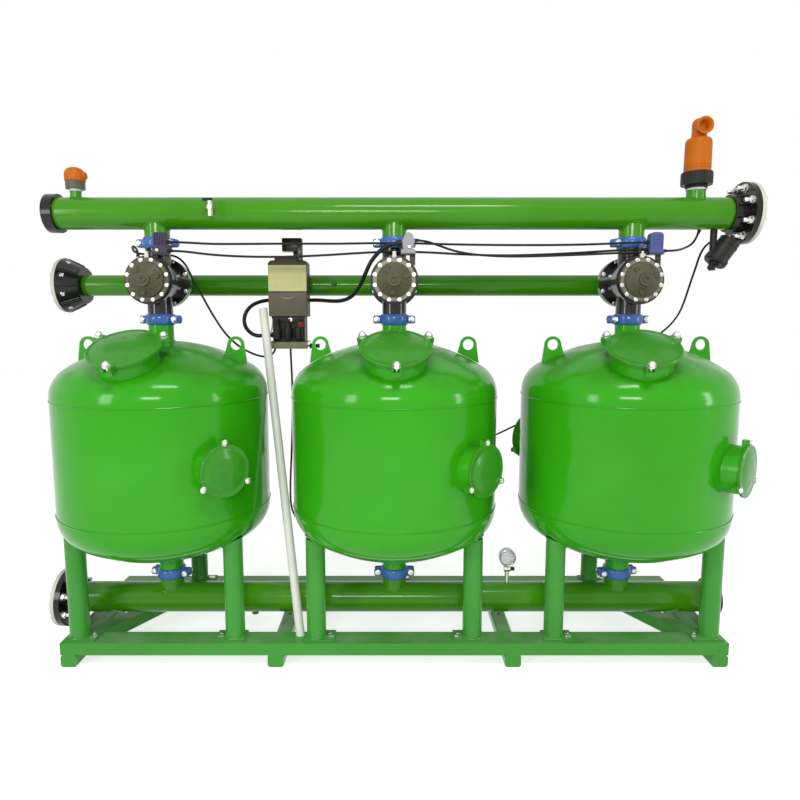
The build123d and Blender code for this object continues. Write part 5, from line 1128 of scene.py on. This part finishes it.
# %% Filter rings and tube nuts
lean = math.radians(34.5)
filter_way = Vector((math.sin(lean), 0, math.cos(lean)))
filter_start = Vector((1.171, 0, 1.448))
rings = bmesh.new()
for low, high, size in ((0.003, 0.026, 0.0395), (0.074, 0.080, 0.0388)):
    turn_profile(rings, [(0.036, low), (size, low + 0.001), (size, high - 0.001), (0.036, high)],
                 filter_start, filter_way, steps=48)
for i in range(22):
    a = 2 * math.pi * i / 22
    across, over, _ = axes_about(filter_way)
    spot = filter_start + filter_way * 0.004 + (across * math.cos(a) + over * math.sin(a)) * 0.0393
    turn_profile(rings, [(0, 0), (0.0017, 0.001), (0.0017, 0.020), (0, 0.021)], spot, filter_way, steps=6)
turn_profile(rings, [(0.020, -0.001), (0.019, 0.005), (0.012, 0.007), (0.011, 0.024), (0.009, 0.026),
                     (0, 0.026)],
             filter_start, -filter_way, steps=28)
finish_piece("filter_cap_rings", rings, [finishes["black_plastic"]])

nuts = bmesh.new()
for diameter, _, _, route in tube_routes.values():
    for end, inner in ((route[0], route[1]), (route[-1], route[-2])):
        way = Vector(inner) - Vector(end)
        size = diameter * 0.78
        tall = min(0.016, way.length * 0.5)
        turn_profile(nuts, [(diameter * 0.51, 0.0), (size, 0.0), (size, tall * 0.55),
                            (size * 0.86, tall * 0.6), (size * 0.82, tall), (diameter * 0.51, tall)], end,
                     way, steps=18)
finish_piece("tube_nuts", nuts, [finishes["black_plastic"]])

plug = bmesh.new()
spot = Vector((-0.242, 0.2105, 1.384))
turn_profile(plug, [(0.0115, 0), (0.0115, 0.003), (0.0095, 0.0045), (0, 0.0045)], spot, (0, -1, 0), steps=24)
turn_profile(plug, [(0.0072, 0.004), (0.0072, 0.010), (0.0060, 0.0115), (0, 0.0115)], spot, (0, -1, 0),
             steps=6)
finish_piece("flush_plug", plug, [painted("plug_green", (0.02, 0.12, 0.03))])

# %% [markdown]
# ## Pressure gauge
# A small steel gauge shows the outlet pressure. It needs a white dial with a scale, a bright ring
# and a glass. The needle is one of the frame's moving parts and stays as it is.

# %% Dial, ring and glass
dial_white = plastic("dial_white", (0.80, 0.80, 0.80), roughness=0.5, fading=0.1, lighter=1.05)
scale_black = plastic("scale_black", (0.02, 0.02, 0.02), roughness=0.5)
gauge_centre = Vector((0.438, 0, 0.328))
SCALE_START = 225
SCALE_SWEEP = 270
FIGURE_STEP = 54
SCALE_RADIUS = 0.0262
FIGURE_RADIUS = 0.0176
PRINT_Y = -0.00512
BEZEL_Y = -0.0120
dial = bmesh.new()
turn_profile(dial, [(0, 0), (0.0289, 0), (0.0289, 0.00006), (0, 0.00006)],
             gauge_centre + Vector((0, -0.0050, 0)), (0, -1, 0), steps=48)
for i in range(51):
    a = math.radians(SCALE_START - SCALE_SWEEP * i / 50)
    long = 0.0050 if i % 5 == 0 else 0.0028
    way = Vector((math.cos(a), 0, math.sin(a)))
    cross = Vector((-math.sin(a), 0, math.cos(a))) * (0.00045 if i % 5 == 0 else 0.00022)
    outer = gauge_centre + way * SCALE_RADIUS + Vector((0, PRINT_Y, 0))
    inner = outer - way * long
    corners = [dial.verts.new(p) for p in (outer - cross, outer + cross, inner + cross, inner - cross)]
    face = dial.faces.new(corners)
    face.material_index = 1
finish_piece("gauge_dial", dial, [dial_white, scale_black])
for i, figure in enumerate(("0", "2", "4", "6", "8", "10")):
    a = math.radians(SCALE_START - FIGURE_STEP * i)
    letters = bpy.data.curves.new("scale_figure_%d" % i, "FONT")
    letters.body = figure
    letters.size = 0.0062
    letters.align_x = "CENTER"
    letters.align_y = "CENTER"
    letters.extrude = 0.00002
    figure_piece = bpy.data.objects.new("scale_figure_%d" % i, letters)
    figure_piece.location = gauge_centre + Vector((FIGURE_RADIUS * math.cos(a), PRINT_Y,
                                                   FIGURE_RADIUS * math.sin(a)))
    figure_piece.rotation_euler = (math.pi / 2, 0, 0)
    scene.collection.objects.link(figure_piece)
    letters.materials.append(scale_black)
    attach(figure_piece, "frame")
bezel = bmesh.new()
turn_profile(bezel, [(0.0322, 0.0), (0.0325, 0.002), (0.0322, 0.0042), (0.0305, 0.0050), (0.0290, 0.0042),
                     (0.0286, 0.0020), (0.0286, 0.0), (0.0322, 0.0)],
             gauge_centre + Vector((0, BEZEL_Y, 0)), (0, -1, 0), steps=56)
finish_piece("gauge_bezel", bezel, [finishes["gauge_black"]])

gauge_glass = bpy.data.materials.new("gauge_glass")
gauge_glass.use_nodes = True
shader = gauge_glass.node_tree.nodes["Principled BSDF"]
shader.inputs["Base Color"].default_value = (0.96, 0.98, 0.97, 1)
shader.inputs["Roughness"].default_value = 0.03
shader.inputs["Transmission Weight"].default_value = 1.0
shader.inputs["IOR"].default_value = 1.12
pane = bmesh.new()
turn_profile(pane, [(0, 0), (0.0284, 0), (0.0284, 0.0012), (0.0270, 0.0015), (0, 0.0015)],
             gauge_centre + Vector((0, BEZEL_Y, 0)), (0, -1, 0), steps=48)
finish_piece("gauge_pane", pane, [gauge_glass])

# %% [markdown]
# ## Floor and light
# The photograph is cut out on white. A pale floor that adds a little of its own light for the
# camera gives that white and still keeps a soft shadow under the skid. The lamps stay plain: a
# ceiling lamp in front for the bright patch on each shoulder, a tall soft one at the left, a wide
# one in front that fills the shade, and a slim one at the right for the edges.

# %% Floor
def shown_to_camera(tree):
    """1 for camera, glossy and transmission rays, 0 for the rays that carry light."""
    rays = tree.nodes.new("ShaderNodeLightPath")
    shown = add_math(tree, "ADD", rays.outputs["Is Camera Ray"], rays.outputs["Is Glossy Ray"])
    return add_math(tree, "ADD", shown, rays.outputs["Is Transmission Ray"], True)


FLOOR_RADIUS = 14.0
FLOOR_GLOW = 0.66
floor_mesh = bmesh.new()
bmesh.ops.create_circle(floor_mesh, cap_ends=True, segments=96, radius=FLOOR_RADIUS)
floor_data = bpy.data.meshes.new("studio_floor")
floor_mesh.to_mesh(floor_data)
floor_mesh.free()
floor = bpy.data.objects.new("studio_floor", floor_data)
floor.location.z = -0.0005
scene.collection.objects.link(floor)
floor_paint = bpy.data.materials.new("studio_floor_paint")
floor_paint.use_nodes = True
tree = floor_paint.node_tree
tree.nodes["Principled BSDF"].inputs["Base Color"].default_value = (0.86, 0.86, 0.86, 1)
tree.nodes["Principled BSDF"].inputs["Roughness"].default_value = 0.9
glow = tree.nodes.new("ShaderNodeEmission")
glow.inputs["Color"].default_value = (1, 1, 1, 1)
tree.links.new(add_math(tree, "MULTIPLY", shown_to_camera(tree), FLOOR_GLOW), glow.inputs["Strength"])
both = tree.nodes.new("ShaderNodeAddShader")
tree.links.new(tree.nodes["Principled BSDF"].outputs[0], both.inputs[0])
tree.links.new(glow.outputs[0], both.inputs[1])
tree.links.new(both.outputs[0], tree.nodes["Material Output"].inputs["Surface"])
floor_data.materials.append(floor_paint)
print("floor radius", FLOOR_RADIUS)

# %% World and lamps
world = bpy.data.worlds.new("studio")
world.use_nodes = True
scene.world = world
tree = world.node_tree
sky = tree.nodes["Background"]
sky.inputs["Color"].default_value = (1, 1, 1, 1)
AMBIENT = 0.33
level = add_math(tree, "MULTIPLY", shown_to_camera(tree), 1.0 - AMBIENT)
tree.links.new(add_math(tree, "ADD", level, AMBIENT), sky.inputs["Strength"])


def add_lamp(name, place, aim, width, height, power):
    """A soft rectangular lamp that points at a spot."""
    lamp = bpy.data.lights.new(name, "AREA")
    lamp.shape = "RECTANGLE"
    lamp.size = width
    lamp.size_y = height
    lamp.energy = power
    stand = bpy.data.objects.new(name, lamp)
    stand.location = place
    stand.rotation_euler = (Vector(aim) - Vector(place)).to_track_quat("-Z", "Y").to_euler()
    scene.collection.objects.link(stand)
    print(name, power, "W")


add_lamp("ceiling_lamp", (0.25, -2.6, 4.4), (0, 0, 0.8), 1.6, 0.55, 58.0)
add_lamp("left_window", (-3.4, -3.4, 1.9), (0, 0, 1.0), 0.9, 1.8, 48.0)
add_lamp("front_window", (-0.3, -4.6, 2.3), (0, 0, 0.7), 1.5, 0.45, 56.0)
add_lamp("right_window", (4.3, -1.6, 1.5), (0.4, 0, 1.0), 0.5, 1.8, 30.0)

# %% Update the scene
bpy.context.view_layer.update()
